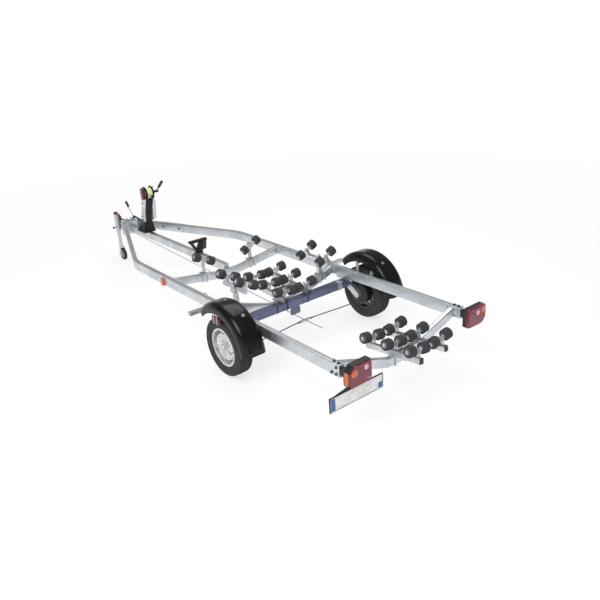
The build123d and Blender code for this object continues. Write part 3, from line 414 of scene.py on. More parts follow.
@dataclass(frozen=True)
class Finish:
    """A named surface: a pattern mixes its two colours and shifts its roughness, and a relief raises it.

    The pattern's values within span are stretched to mixed, the share of the second colour, and to the roughness
    plus each end of drift. The relief is so many millimetres deep.
    """

    title: str
    colour: str
    second: str = ""
    roughness: float = 0.5
    drift: tuple[float, float] = (0.0, 0.0)
    span: tuple[float, float] = (0.3, 0.7)
    mixed: tuple[float, float] = (0.0, 1.0)
    relief_mm: float = 0.1
    relief_strength: float = 0.5

    def material(self) -> bpy.types.Material:
        """Makes the finish's material, once.

        Returns:
            The material.
        """
        known = bpy.data.materials.get(self.title)
        if known:
            return known
        material = bpy.data.materials.new(self.title)
        material.use_nodes = True
        tree = material.node_tree
        shader = tree.nodes["Principled BSDF"]
        place = node(tree, "ShaderNodeTexCoord").outputs["Object"]
        self.draw(tree, shader, place)
        return material

    def draw(self, tree: bpy.types.NodeTree, shader: bpy.types.Node, place: Socket) -> None:
        """Draws the finish: colour * (1 - f) + second * f, the roughness by the same pattern, and the relief.

        Args:
            tree: The material's node tree.
            shader: Its Principled shader.
            place: The Object coordinates.
        """
        pattern, relief = self.pattern(tree, place)
        start, end = self.span
        rough = [self.roughness + shifted for shifted in self.drift]
        amount, roughness = [
            node(tree, "ShaderNodeMapRange", {"From Min": start, "From Max": end, "To Min": low, "To Max": high},
                 Value=pattern).outputs[0] for low, high in (self.mixed, rough)]
        colour = node(tree, "ShaderNodeMix", {"data_type": "RGBA", 6: linear(self.colour),
                                              7: linear(self.other_colour())}, i0=amount).outputs[2]
        raised = node(tree, "ShaderNodeBump", {"Strength": self.relief_strength,
                                               "Distance": self.relief_mm / MM_PER_M}, Height=relief).outputs[0]
        for name, socket in (("Base Color", colour), ("Roughness", roughness), ("Normal", raised)):
            tree.links.new(socket, shader.inputs[name])
        for name, value in self.values().items():
            shader.inputs[name].default_value = value

    def pattern(self, tree: bpy.types.NodeTree, place: Socket) -> tuple[Socket, Socket]:
        """The sockets of the pattern and of the relief; each kind of finish has its own."""
        raise NotImplementedError

    def other_colour(self) -> str:
        """The colour that the pattern mixes in."""
        return self.second

    def values(self) -> dict[str, object]:
        """The shader's plain inputs by name."""
        return {}


@dataclass(frozen=True)
class HotDipZinc(Finish):
    """Hot-dip galvanised steel: pale grey crystals about a finger's width across, dulled by weather."""

    second: str = "#b6bcc1"
    roughness: float = 0.36
    drift: tuple[float, float] = (-0.08, 0.12)
    span: tuple[float, float] = (0.0, 1.0)
    relief_mm: float = 0.25
    relief_strength: float = 0.35
    metallic: float = 0.92
    spangle_mm: float = 14.0
    spangle_share: float = 0.45
    cloud_mm: float = 240.0
    grain_mm: float = 3.0

    def pattern(self, tree: bpy.types.NodeTree, place: Socket) -> tuple[Socket, Socket]:
        """Adds spangle, cells of slightly different grey, to wide clouds of duller zinc, over a fine grain.

        Args:
            tree: The material's node tree.
            place: The Object coordinates.

        Returns:
            The sockets of the pattern and of the relief.
        """
        cells = node(tree, "ShaderNodeTexVoronoi", {"Scale": per_metre(self.spangle_mm), "Randomness": 1.0},
                     Vector=place)
        cell_grey = node(tree, "ShaderNodeRGBToBW", Color=cells.outputs["Color"]).outputs[0]
        cloud = node(tree, "ShaderNodeTexNoise", {"Scale": per_metre(self.cloud_mm), "Detail": 6.0,
                                                  "Roughness": 0.6}, Vector=place).outputs["Fac"]
        wide = node(tree, "ShaderNodeMapRange", {"From Min": 0.35, "From Max": 0.65, "To Min": 0.0,
                                                 "To Max": 1 - self.spangle_share}, Value=cloud).outputs[0]
        both = node(tree, "ShaderNodeMath", {"operation": "MULTIPLY_ADD", 1: self.spangle_share}, i0=cell_grey,
                    i2=wide).outputs[0]
        fine = node(tree, "ShaderNodeTexNoise", {"Scale": per_metre(self.grain_mm), "Detail": 3.0}, Vector=place)
        return both, fine.outputs["Fac"]

    def values(self) -> dict[str, object]:
        """The metal's share; its IOR stays at the default."""
        return {"Metallic": self.metallic}


@dataclass(frozen=True)
class Rubber(Finish):
    """Vulcanised rubber: near black, matt, with a fine grain and a little road dust."""

    second: str = "#5a5856"
    roughness: float = 0.72
    drift: tuple[float, float] = (-0.1, 0.1)
    mixed: tuple[float, float] = (0.0, 0.35)
    relief_mm: float = 0.3
    relief_strength: float = 0.4
    blotch_mm: float = 60.0
    grain_mm: float = 2.0

    def pattern(self, tree: bpy.types.NodeTree, place: Socket) -> tuple[Socket, Socket]:
        """Draws dust as soft blotches over the rubber, and a grain drawn 2 mm coarse so that it shows.

        Args:
            tree: The material's node tree.
            place: The Object coordinates.

        Returns:
            The sockets of the pattern and of the relief.
        """
        blotch = node(tree, "ShaderNodeTexNoise", {"Scale": per_metre(self.blotch_mm), "Detail": 8.0,
                                                   "Roughness": 0.65}, Vector=place)
        grain = node(tree, "ShaderNodeTexNoise", {"Scale": per_metre(self.grain_mm), "Detail": 2.0}, Vector=place)
        return blotch.outputs["Fac"], grain.outputs["Fac"]

    def values(self) -> dict[str, object]:
        """Rubber's IOR."""
        return {"IOR": 1.52}


@dataclass(frozen=True)
class MouldedPlastic(Finish):
    """Injection-moulded polypropylene or ABS: even colour, a soft gloss and a leathery grain."""

    roughness: float = 0.3
    drift: tuple[float, float] = (-0.05, 0.08)
    mixed: tuple[float, float] = (0.0, 0.6)
    relief_mm: float = 0.08
    grain_mm: float = 1.6
    haze_mm: float = 90.0
    lift: int = 12
    coat: float = 0.0
    gloss: float = 0.5

    def pattern(self, tree: bpy.types.NodeTree, place: Socket) -> tuple[Socket, Socket]:
        """Draws a faint haze in colour and gloss, and a shallow mould grain.

        Args:
            tree: The material's node tree.
            place: The Object coordinates.

        Returns:
            The sockets of the pattern and of the relief.
        """
        haze = node(tree, "ShaderNodeTexNoise", {"Scale": per_metre(self.haze_mm), "Detail": 5.0}, Vector=place)
        grain = node(tree, "ShaderNodeTexVoronoi", {"Scale": per_metre(self.grain_mm)}, Vector=place)
        return haze.outputs["Fac"], grain.outputs[0]

    def other_colour(self) -> str:
        """The colour where the haze is, a little lighter."""
        return toned(self.colour, lift=self.lift)

    def values(self) -> dict[str, object]:
        """The plastic's IOR, gloss and coat."""
        return {"IOR": 1.5, "Specular IOR Level": self.gloss, "Coat Weight": self.coat}


@dataclass(frozen=True)
class PaintedSteel(Finish):
    """Sprayed enamel on pressed or cast steel: slight orange peel and a faint cloud in the colour."""

    roughness: float = 0.35
    drift: tuple[float, float] = (-0.06, 0.1)
    mixed: tuple[float, float] = (0.0, 0.7)
    relief_mm: float = 0.05
    relief_strength: float = 0.3
    metallic: float = 0.0
    peel_mm: float = 2.5
    cloud_mm: float = 50.0
    shade: float = 0.8
    coat: float = 0.15
    gloss: float = 0.5

    def pattern(self, tree: bpy.types.NodeTree, place: Socket) -> tuple[Socket, Socket]:
        """Draws a cloud over colour and gloss, and orange peel as a shallow noise.

        Args:
            tree: The material's node tree.
            place: The Object coordinates.

        Returns:
            The sockets of the pattern and of the relief.
        """
        cloud = node(tree, "ShaderNodeTexNoise", {"Scale": per_metre(self.cloud_mm), "Detail": 6.0}, Vector=place)
        peel = node(tree, "ShaderNodeTexNoise", {"Scale": per_metre(self.peel_mm), "Detail": 1.0}, Vector=place)
        return cloud.outputs["Fac"], peel.outputs["Fac"]

    def other_colour(self) -> str:
        """The colour where the cloud is, a little darker."""
        return toned(self.colour, self.shade)

    def values(self) -> dict[str, object]:
        """The enamel's metal flake, gloss and coat."""
        return {"Metallic": self.metallic, "Specular IOR Level": self.gloss, "Coat Weight": self.coat}


@dataclass(frozen=True)
class WheelEnamel(PaintedSteel):
    """Silver enamel on a pressed wheel: bright on the outer face, and darkened by painted shade towards the axle."""

    # Painted shade: nearer the centre line than these distances, the enamel turns to a dark grey that stands in for
    # the shade inside the wheel.
    unshaded_from_m: float = 0.865
    shaded_to_m: float = 0.82
    inner_shade: str = "#2a2a2c"

    def draw(self, tree: bpy.types.NodeTree, shader: bpy.types.Node, place: Socket) -> None:
        """Draws the enamel, then mixes in painted shade, a dark grey, by the distance from the trailer's centre line.

        Args:
            tree: The material's node tree.
            shader: Its Principled shader.
            place: The Object coordinates.
        """
        super().draw(tree, shader, place)
        enamel = shader.inputs["Base Color"].links[0].from_socket
        across = node(tree, "ShaderNodeSeparateXYZ", Vector=place).outputs["Y"]
        away = node(tree, "ShaderNodeMath", {"operation": "ABSOLUTE"}, i0=across).outputs[0]
        amount = node(tree, "ShaderNodeMapRange", {"From Min": self.shaded_to_m, "From Max": self.unshaded_from_m,
                                                   "To Min": 1.0, "To Max": 0.0}, Value=away).outputs[0]
        mix = node(tree, "ShaderNodeMix", {"data_type": "RGBA", 7: linear(self.inner_shade)}, i0=amount, i6=enamel)
        tree.links.new(mix.outputs[2], shader.inputs["Base Color"])


@dataclass(frozen=True)
class WovenWebbing(Finish):
    """Woven polyester webbing: ribs across the strap and a dull sheen."""

    roughness: float = 0.8
    span: tuple[float, float] = (0.0, 1.0)
    relief_mm: float = 0.4
    relief_strength: float = 0.6
    rib_mm: float = 5.0
    wave_scale: float = 1 / 20

    def pattern(self, tree: bpy.types.NodeTree, place: Socket) -> tuple[Socket, Socket]:
        """Draws ribs as bands along the strap's width, drawn 5 mm coarse so that they show.

        Args:
            tree: The material's node tree.
            place: The Object coordinates.

        Returns:
            The bands' socket twice, as the pattern and as the relief.
        """
        scale = per_metre(self.rib_mm) * self.wave_scale
        bands = node(tree, "ShaderNodeTexWave", {"bands_direction": "Y", "Scale": scale, "Distortion": 0.6,
                                                 "Detail": 2.0}, Vector=place).outputs["Fac"]
        return bands, bands

    def values(self) -> dict[str, object]:
        """The cloth's sheen."""
        return {"Sheen Weight": 0.3}


@dataclass(frozen=True)
class LampLens(Finish):
    """Moulded acrylic lens: clear colour over a prism pattern, with a hard gloss."""

    roughness: float = 0.14
    span: tuple[float, float] = (0.0, 1.0)
    mixed: tuple[float, float] = (0.7, 0.2)
    relief_mm: float = 0.5
    prism_mm: float = 7.0
    wave_scale: float = 1 / 20
    shade: float = 0.72
    glow: float = 0.12

    def pattern(self, tree: bpy.types.NodeTree, place: Socket) -> tuple[Socket, Socket]:
        """Draws the prisms as two sets of bands that cross, one along the width and one along the height.

        Args:
            tree: The material's node tree.
            place: The Object coordinates.

        Returns:
            The prisms' socket twice, as the pattern and as the relief.
        """
        scale = per_metre(self.prism_mm) * self.wave_scale
        across, upward = [
            node(tree, "ShaderNodeTexWave", {"bands_direction": way, "Scale": scale}, Vector=place).outputs["Fac"]
            for way in ("Y", "Z")]
        height = node(tree, "ShaderNodeMath", {"operation": "MULTIPLY"}, i0=across, i1=upward).outputs[0]
        return height, height

    def other_colour(self) -> str:
        """The colour in the prisms' valleys, darker."""
        return toned(self.colour, self.shade)

    def values(self) -> dict[str, object]:
        """Acrylic's IOR, its hard coat, and a faint glow of its own colour for the light that it gathers."""
        return {"IOR": 1.49, "Coat Weight": 0.6, "Emission Color": linear(self.colour),
                "Emission Strength": self.glow}


@dataclass(frozen=True)
class FloorPaint(Finish):
    """Matt white studio floor that reads as plain white paper where no shadow falls."""

    roughness: float = 0.95
    lift: float = 0.7
    near_m: float = 3.0
    far_m: float = 9.0

    def draw(self, tree: bpy.types.NodeTree, shader: bpy.types.Node, place: Socket) -> None:
        """Mixes a matt white, which takes the shadow, with plain white for what the eye and mirrors see.

        Args:
            tree: The material's node tree.
            shader: Its Principled shader.
            place: The Object coordinates.
        """
        for name, value in (("Base Color", linear(self.colour)), ("Roughness", self.roughness),
                            ("Specular IOR Level", 0.0)):
            shader.inputs[name].default_value = value
        rays = node(tree, "ShaderNodeLightPath")
        seen = node(tree, "ShaderNodeMath", {"operation": "MAXIMUM"}, i0=rays.outputs["Is Camera Ray"],
                    i1=rays.outputs["Is Glossy Ray"]).outputs[0]
        also = node(tree, "ShaderNodeMath", {"operation": "MAXIMUM"}, i0=seen,
                    i1=rays.outputs["Is Transmission Ray"]).outputs[0]
        away = node(tree, "ShaderNodeVectorMath", {"operation": "LENGTH"}, i0=place).outputs["Value"]
        share = node(tree, "ShaderNodeMapRange", {"From Min": self.near_m, "From Max": self.far_m,
                                                  "To Min": self.lift, "To Max": 1.0}, Value=away).outputs[0]
        amount = node(tree, "ShaderNodeMath", {"operation": "MULTIPLY"}, i0=share, i1=also).outputs[0]
        white = node(tree, "ShaderNodeEmission", {"Color": (1.0, 1.0, 1.0, 1.0), "Strength": 1.0}).outputs[0]
        mix = node(tree, "ShaderNodeMixShader", None, i0=amount, i1=shader.outputs[0], i2=white).outputs[0]
        tree.links.new(mix, tree.nodes["Material Output"].inputs["Surface"])


# Frame steel: hot-dip galvanised, so pale, half matt, with crystals that catch the light one by one.
ZINC = HotDipZinc("hot_dip_zinc", "#e2e5e8")
# Axle tube: zinc drawn a dull violet grey, darker and bluer than the frame.
AXLE_ZINC = HotDipZinc("blue_zinc_axle", "#7c7e98", "#5a5e80", 0.4, metallic=0.7)
# Bolts and nuts: bright electroplated zinc, so small sharp glints.
BRIGHT_ZINC = HotDipZinc("bright_zinc_fastener", "#d4d6d6", "#a9adaf", 0.28, spangle_mm=6.0)
# Shafts and rail bolts: zinc worn dull, so dark grey without glints.
DARK_ZINC = HotDipZinc("dull_zinc_shaft", "#6f7478", "#4c5054", 0.42, spangle_mm=9.0)
# Road wheels: sprayed silver enamel with a little metal flake, so a bright soft sheen; towards the axle it is
# darkened by painted shade.
SILVER_PAINT = WheelEnamel("silver_wheel_enamel", "#dcdee2", roughness=0.3, metallic=0.4)
# Winch stand and keel rest: black enamel, so a deep black with broad highlights.
BLACK_PAINT = PaintedSteel("black_enamel", "#0f1011", roughness=0.34, coat=0.0, gloss=0.35)
# Winch cover: maroon enamel, so a dark wine red with a thin shine.
MAROON_PAINT = PaintedSteel("maroon_enamel", "#5e1730", roughness=0.34)
# Brake drums: heat-dulled black enamel, so nearly no highlight; on the vents' rings and the brake backplate the same
# black is painted shade.
DRUM_BLACK = PaintedSteel("black_brake_drum_enamel", "#1c1d20", roughness=0.55)
# Number plate: retroreflective sheet, so flat and very light; its end bands are the same sheet in blue.
PLATE_WHITE = PaintedSteel("reflective_plate_white", "#eceded", roughness=0.3)
PLATE_BLUE = PaintedSteel("reflective_plate_blue", "#2f5c9e", roughness=0.3)
# Tyres: vulcanised tread rubber with road dust, so a warm dark grey with no shine.
TYRE_RUBBER = Rubber("tyre_rubber", "#404142")
# Keel rollers and boots: denser black rubber, rubbed smooth, so darker with a dim sheen.
ROLLER_RUBBER = Rubber("roller_rubber", "#1d1e20", roughness=0.55, mixed=(0.0, 0.2))
# Brake cables and valves: extruded rubber sheath, so smooth and black.
CABLE_SHEATH = Rubber("cable_sheath", "#232325", roughness=0.5, mixed=(0.0, 0.1))
# Fenders: polished moulded polymer, so black with clear, narrow reflections.
FENDER_PLASTIC = MouldedPlastic("black_fender_polymer", "#0a0a0b", roughness=0.19, relief_mm=0.03, gloss=0.32)
# Grips, caps and housings: grained moulded plastic, so an even, satin black.
BLACK_PLASTIC = MouldedPlastic("black_moulded_plastic", "#1a1b1d", roughness=0.42)
# Jockey wheel's hub: moulded nylon, so a flat light grey.
HUB_GREY = MouldedPlastic("grey_hub_nylon", "#9b9da0", roughness=0.45)
# Rollers' hubs: moulded nylon, a darker grey than the jockey wheel's.
ROLLER_HUB = MouldedPlastic("dark_roller_hub_nylon", "#595b5f", roughness=0.5)
# Coupling handle and winding cap: moulded crimson plastic with a hard skin, so a dark red with a thin shine.
RED_PLASTIC = MouldedPlastic("crimson_moulded_plastic", "#5a0c22", roughness=0.38, coat=0.1)
# Winch strap: woven polyester, so a dull yellow green that darkens between its ribs.
STRAP = WovenWebbing("strap_webbing", "#a6a982", "#6f7350")
# Fender pouch and its straps: woven cloth in crimson and in a pale grey.
POUCH_CLOTH = WovenWebbing("crimson_woven_pouch", "#6b1030", "#4a0a20")
PALE_STRAP = WovenWebbing("pale_woven_strap", "#c9c2c4", "#9a9597")
# Rear lamps: moulded acrylic in red and amber, each with a faint glow as if lit within; the pale pink domes with
# finer prisms are a painted highlight on the red lenses.
RED_LENS = LampLens("red_acrylic_lens", "#7d0b2b", glow=0.05)
AMBER_LENS = LampLens("amber_acrylic_lens", "#d5601a")
HIGHLIGHT_LENS = LampLens("painted_highlight_lens", "#f0b4c4", prism_mm=5.0)


def finish_cad(finish: Finish, *names: str) -> None:
    """Gives CAD nodes a finish; their shapes stay as they are.

    Args:
        finish: What the nodes are made of.
        names: The nodes.
    """
    for name in names:
        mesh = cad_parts[name].data
        mesh.materials.clear()
        mesh.materials.append(finish.material())


# ---- The trailer's sub-assemblies

@dataclass
class Rails:
    """The two side rails, their caps and the drawbar with its nose plate."""

    top: float = 530.0
    height: float = 100.0
    width: float = 50.0
    corner: float = 7.0
    outer: float = 720.0
    rear_x: float = -1320.0
    bend_x: float = 2080.0
    bend_radius: float = 700.0
    nose_x: float = 3640.0
    nose_y: float = 105.0
    past_nose: float = 100.0
    end_plate: float = 6.0
    lug: tuple[float, float] = (112.0, 4.0)
    lug_bolts: Profile = ((26.0, 28.0), (26.0, -28.0), (76.0, -28.0))
    lug_bolt: Fastener = Fastener(19, 9, 13)
    top_bolts: tuple[float, float] = (30.0, 78.0)
    top_bolt: Fastener = Fastener(19, 9, 15, 6)
    eye_x: float = 560.0
    eye_inset: float = 12.0
    eye_radius: float = 15.0
    eye_bar: float = 4.5
    sleeve: tuple[float, float] = (2900.0, 3250.0)
    sleeve_wall: float = 3.5
    sleeve_bolts: tuple[float, float] = (2950.0, 3200.0)
    sleeve_bolt: Fastener = Fastener(19, 8, 15, 6)

    @property
    def slope(self) -> float:
        """How far a rail's middle line comes in for each millimetre past its bend."""
        return (self.outer - self.width / 2 - self.nose_y) / (self.nose_x - self.bend_x)

    def build(self) -> None:
        """Builds both rails, each a rounded tube carried along its bent line, and finishes the drawbar."""
        section = rounded_rectangle(self.height, self.width, self.corner)
        z = self.top - self.height / 2
        far_x = self.nose_x + self.past_nose
        for side in Side:
            y = side.value * (self.outer - self.width / 2)
            end_y = side.value * (abs(y) - self.slope * (far_x - self.bend_x))
            spine = bent_line([(self.rear_x, y, z), (self.bend_x, y, z), (far_x, end_y, z)], self.bend_radius, 14)
            rail = Surface()
            rail.carried(section, spine, (0, 0, 1), first=(0, self.rear_x), last=(0, self.nose_x))
            thing = rail.piece(f"rail_tube_{side.word}", ZINC, "chassis", 50)
            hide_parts(f"side_rail_{side.word}")
        finish_cad(ZINC, "drawbar")
        self.fasteners()

    def fasteners(self) -> None:
        """Adds the rear brackets that carry the lamps, their dark bolts, the lashing eyes and the splice sleeve."""
        bolts, eyes, brackets, sleeve = Surface(), Surface(), Surface(), Surface()
        z = self.top - self.height / 2
        lug, lug_thick = self.lug
        for side in Side:
            s = side.value
            middle, eye_y = s * (self.outer - self.width / 2), s * (self.outer - self.eye_inset)
            brackets.plate(rounded_rectangle(self.height + 4, self.width + 4, 6), self.end_plate,
                           facing((self.rear_x - 0.5, middle, z), (-1, 0, 0), 90), 1.5)
            brackets.plate(rounded_rectangle(lug, self.height + 2, 8), lug_thick,
                           facing((self.rear_x + 50, s * self.outer, z), (0, s, 0)), 1)
            for dx, dz in self.lug_bolts:
                bolts.bolt((self.rear_x + dx, s * (self.outer + lug_thick), z + dz), (0, s, 0), self.lug_bolt)
            for dx in self.top_bolts:
                bolts.bolt((self.rear_x + dx, middle, self.top), (0, 0, 1), self.top_bolt)
            eyes.rod((self.eye_x, eye_y, self.top), (self.eye_x, eye_y, self.top + 16), 6)
            ring = [(self.eye_radius + self.eye_bar * math.cos(a), self.eye_bar * math.sin(a))
                    for a in np.linspace(0, 2 * np.pi, 9)[:-1]]
            eyes.turned(ring, facing((self.eye_x, eye_y, self.top + 29), (0, 1, 0)), 20, ring=True)
        brackets.piece("rail_end_brackets", ZINC, "chassis", 40)
        line = np.array([(x, self.right_y(x), z) for x in self.sleeve])
        wall = self.sleeve_wall
        sleeve.carried(rounded_rectangle(self.height + 2 * wall, self.width + 2 * wall, self.corner + 3), line,
                       (0, 0, 1))
        sleeve.piece("rail_splice_sleeve", ZINC, "chassis", 40)
        for x in self.sleeve_bolts:
            bolts.bolt((x, self.right_y(x) + self.width / 2 + wall + 0.1, z), (self.slope, 1, 0), self.sleeve_bolt)
        bolts.piece("rail_bolts", DARK_ZINC, "chassis", 30)
        eyes.piece("lashing_eyes", BRIGHT_ZINC, "chassis", 40)

    def right_y(self, x: float) -> float:
        """The right rail's middle line past its bend: y = -(outer - width / 2 - slope * (x - bend))."""
        return -(self.outer - self.width / 2 - self.slope * (x - self.bend_x))


@dataclass
class Crossmembers:
    """Three dropped crossmembers, their flanges and the bolts through them."""

    places: dict[str, tuple[float, float]] = field(
        default_factory=lambda: {"front": (1280.0, 400.0), "middle": (340.0, 302.0), "rear": (-1235.0, 292.0)})
    flat_half: float = 130.0
    bend_radius: float = 160.0
    end_z: float = 475.0
    end_y: float = 662.0
    height: float = 80.0
    width: float = 50.0
    corner: float = 7.0
    flange: Point = (120.0, 88.0, 8.0)
    flange_z: float = 480.0
    bolt_at: tuple[float, float] = (43.0, 26.0)
    bolt: Fastener = Fastener(15, 7, 12)

    def build(self) -> None:
        """Builds each crossmember as a rounded tube along its line, with a flange and four bolts at each end."""
        section = rounded_rectangle(self.width, self.height, self.corner)
        length, tall, thick = self.flange
        outline = rounded_rectangle(length, tall, 9)
        bolt_x, bolt_z = self.bolt_at
        for name, (x, low) in self.places.items():
            slope = (self.end_z - low) / (self.end_y - self.flat_half)
            past = self.end_y + self.height
            ends = [(x, side * past, self.end_z + slope * self.height) for side in (-1, 1)]
            spine = bent_line([ends[0], (x, -self.flat_half, low), (x, self.flat_half, low), ends[1]],
                              self.bend_radius, 8)
            member, bolts = Surface(), Surface()
            member.carried(section, spine, (1, 0, 0), first=(1, -self.end_y), last=(1, self.end_y))
            for side in Side:
                inward = (0, -side.value, 0)
                member.plate(outline, thick, facing((x, side.value * (self.end_y + thick), self.flange_z), inward))
                for dx in (-bolt_x, bolt_x):
                    for dz in (-bolt_z, bolt_z):
                        bolts.bolt((x + dx, side.value * self.end_y, self.flange_z + dz), inward, self.bolt)
            thing = member.piece(f"crossmember_tube_{name}", ZINC, "chassis", 50)
            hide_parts(f"crossmember_{name}")
            bolts.piece(f"crossmember_bolts_{name}", BRIGHT_ZINC, "chassis", 30)


@dataclass
class Axle:
    """The square axle tube with its saddles, arms and brakes."""

    x: float = 150.0
    z: float = 370.0
    size: float = 80.0
    end: float = 700.0
    corner: float = 9.0
    saddle: Point = (220.0, 50.0, 20.0)
    saddle_bolts: float = 92.0
    saddle_bolt: Fastener = Fastener(17, 9, 15, 8)
    rail_y: float = 695.0
    hanger_y: float = 60.0
    hanger_low: float = 256.0
    hanger_thick: float = 6.0
    ties: Point = (212.0, 92.0, -162.0)
    tie_size: tuple[float, float] = (11.0, 2.5)
    clamps: tuple[float, float] = (-585.0, 585.0)
    clamp_size: tuple[float, float] = (58.0, 4.0)

    def build(self) -> None:
        """Builds the tube as a rounded square along Y, with a plate under each rail and the cable hanger."""
        tube, plates, bolts, hanger = Surface(), Surface(), Surface(), Surface()
        section = rounded_rectangle(self.size, self.size, self.corner)
        spine = np.array([(self.x, y, self.z) for y in (-self.end, self.end)])
        tube.carried(section, spine, (1, 0, 0))
        length, wide, thick = self.saddle
        top = self.z + self.size / 2
        for side in Side:
            y = side.value * self.rail_y
            plates.plate(rounded_rectangle(length, wide, 8), thick, shift(self.x, y, top))
            for dx in (-self.saddle_bolts, self.saddle_bolts):
                bolts.bolt((self.x + dx, y, top), (0, 0, -1), self.saddle_bolt)
        low, high = self.hanger_low, self.z - self.size / 2
        hanger.plate(rounded_rectangle(2 * self.hanger_y, high - low, 16), self.hanger_thick,
                     facing((self.x - self.size / 2, 0, (low + high) / 2), (1, 0, 0)))
        hanger.piece("rod_hanger", AXLE_ZINC, "chassis")
        thing = tube.piece("axle_square_tube", AXLE_ZINC, "chassis", 50)
        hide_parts("axle_tube")
        plates.piece("axle_saddles", ZINC, "chassis")
        bolts.piece("axle_saddle_bolts", BRIGHT_ZINC, "chassis", 30)
        finish_cad(ZINC, "trailing_arms")
        self.bands("axle_cable_ties", BLACK_PLASTIC, self.tie_size, self.ties)
        self.bands("axle_clamps", ZINC, self.clamp_size, self.clamps)

    def bands(self, name: str, finish: Finish, size: tuple[float, float], places: tuple[float, ...]) -> None:
        """Adds bands that go round the tube, each the tube's section drawn out and carried over the band's width.

        Args:
            name: The piece's name.
            finish: What the bands are made of.
            size: A band's width, and how far it stands proud of the tube.
            places: The Y of each band's middle.
        """
        band = Surface()
        wide, proud = size
        outer = rounded_rectangle(self.size + 2 * proud, self.size + 2 * proud, self.corner + proud)
        for y in places:
            band.carried(outer, np.array([(self.x, y - wide / 2, self.z), (self.x, y + wide / 2, self.z)]), (1, 0, 0))
        band.piece(name, finish, "chassis", 40)


@dataclass
class RoadWheel:
    """A road wheel: a tyre with tread and sidewall, wheel bolts and a valve on the pressed rim."""

    side: Side
    radius: float = 273.0
    width: float = 157.0
    track_half: float = 848.0
    bead_radius: float = 165.3
    bead_half: float = 57.7
    flange_radius: float = 179.3
    groove_depth: float = 7.0
    blocks: int = 64
    block_steps: int = 5
    tread_depth: float = 4.0
    shoulder_from: float = 44.0
    middle_band: tuple[float, float] = (19.5, 37.0)
    cuts: tuple[float, float] = (0.75, 0.5)
    wheel_bolts: int = 4
    bolt_circle: float = 56.0
    wheel_bolt: Fastener = Fastener(17, 12, 13)
    face: float = 30.0
    valve_at: Point = (150.0, 0.0, 44.0)
    valve: Profile = ((0, 0), (5, 0), (5, 14), (3.4, 18), (3.4, 34), (4.4, 36), (4.4, 44), (0, 45))
    cap: Profile = ((28.4, -32), (28.4, -3), (26.5, -0.5), (21, 0.8), (9, 1.6), (0, 1.8))
    backplate_y: float = 743.5
    backplate: Profile = ((30, 0), (117, 0), (118.5, 1), (118.5, 7), (117, 8))
    # Painted shade: the vents get dark rings that stand in for the shade in their holes.
    vents: int = 12
    vent_circle: float = 137.0
    vent_rise: float = 4.6
    vent_slope: tuple[float, float] = (0.664, 0.747)
    vent_shade_ring: Profile = ((9.2, -0.6), (13.5, -0.6), (13.0, 1.3), (9.8, 1.3))

    def profile(self) -> tuple[Array, Array]:
        """The tyre's section from the inner bead round the tread to the outer bead.

        Returns:
            Radius and width position of each point, both in millimetres.
        """
        half, top, low = self.width / 2, self.radius, self.radius - self.groove_depth
        wall = [(self.bead_radius, self.bead_half), (self.flange_radius, self.bead_half + 0.3), (183, 64), (188, 69),
                (193, 72), (196, 72.7), (200, 74.6), (209, 77), (219, 78.2), (228, half), (237, 78.2), (245, 76.6),
                (248, 77.1), (252, 76.2), (257, 73.6), (262, 69.8), (266.5, 65.4), (269, 62)]
        tread = [(269.8, 60), (270.3, 56), (271.2, 44.5), (low, 43.5), (low, 37.5), (271.8, 36.5), (272.3, 20),
                 (low, 19), (low, 12), (top, 11)]
        outer = np.array(wall + tread)
        section = np.concatenate([outer, outer[::-1] * (1, -1)])
        return section[:, 0], section[:, 1]

    def build(self) -> None:
        """Builds the tyre: the section turned about the axle, with cross grooves cut round the tread."""
        radius, across = self.profile()
        steps = self.blocks * self.block_steps
        angle = np.arange(steps) * 2 * np.pi / steps
        place = facing((0, self.side.value * self.track_half, self.radius), (0, self.side.value, 0))
        ring = np.broadcast_to(radius, (steps, len(radius))).copy()
        ground = radius > self.radius - self.tread_depth
        low, high = self.middle_band
        shoulder = (np.abs(across) > self.shoulder_from) & ground
        middle = (np.abs(across) < high) & (np.abs(across) > low) & ground
        phase = np.arange(steps) % self.block_steps
        shoulder_cut, middle_cut = self.cuts
        ring[np.ix_(phase == 0, shoulder)] -= self.groove_depth * shoulder_cut
        ring[np.ix_(phase == 2, middle)] -= self.groove_depth * middle_cut
        points = np.stack([ring * np.cos(angle)[:, None], ring * np.sin(angle)[:, None],
                           np.broadcast_to(across, ring.shape)], -1)
        tyre = Surface()
        tyre.grid(points, place, round_u=True, round_v=True)
        thing = tyre.piece(f"tyre_tread_{self.side.word}", TYRE_RUBBER, f"wheel_{self.side.word}", 30)
        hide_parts(f"tyre_{self.side.word}")
        self.fittings(place)
        self.vent_rims(place)
        self.brake()

    def fittings(self, place: Array) -> None:
        """Adds the wheel bolts, the valve and the hub cap, and finishes the rim and drum.

        Args:
            place: The wheel's middle, its Z along the axle and outward.
        """
        bolts, valve, cap = Surface(), Surface(), Surface()
        out, body = (0.0, float(self.side.value), 0.0), f"wheel_{self.side.word}"
        for k in range(self.wheel_bolts):
            a = math.radians(45 + 90 * k)
            spot = put(np.array([self.bolt_circle * math.cos(a), self.bolt_circle * math.sin(a), self.face]), place)
            bolts.bolt(tuple(spot), out, self.wheel_bolt)
        bolts.piece(f"wheel_bolts_{self.side.word}", BRIGHT_ZINC, body, 30)
        valve.turned(self.valve, facing(tuple(put(np.array(self.valve_at), place)), out), 12)
        valve.piece(f"tyre_valve_{self.side.word}", CABLE_SHEATH, body)
        finish_cad(SILVER_PAINT, f"rim_{self.side.word}")
        finish_cad(DRUM_BLACK, f"brake_drum_{self.side.word}")
        outer_y = max(abs(corner.y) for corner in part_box(f"brake_drum_{self.side.word}")) * MM_PER_M
        cap.turned(self.cap, facing((0.0, self.side.value * outer_y, self.radius), out), 32)
        cap.piece(f"hub_cap_{self.side.word}", SILVER_PAINT, body)

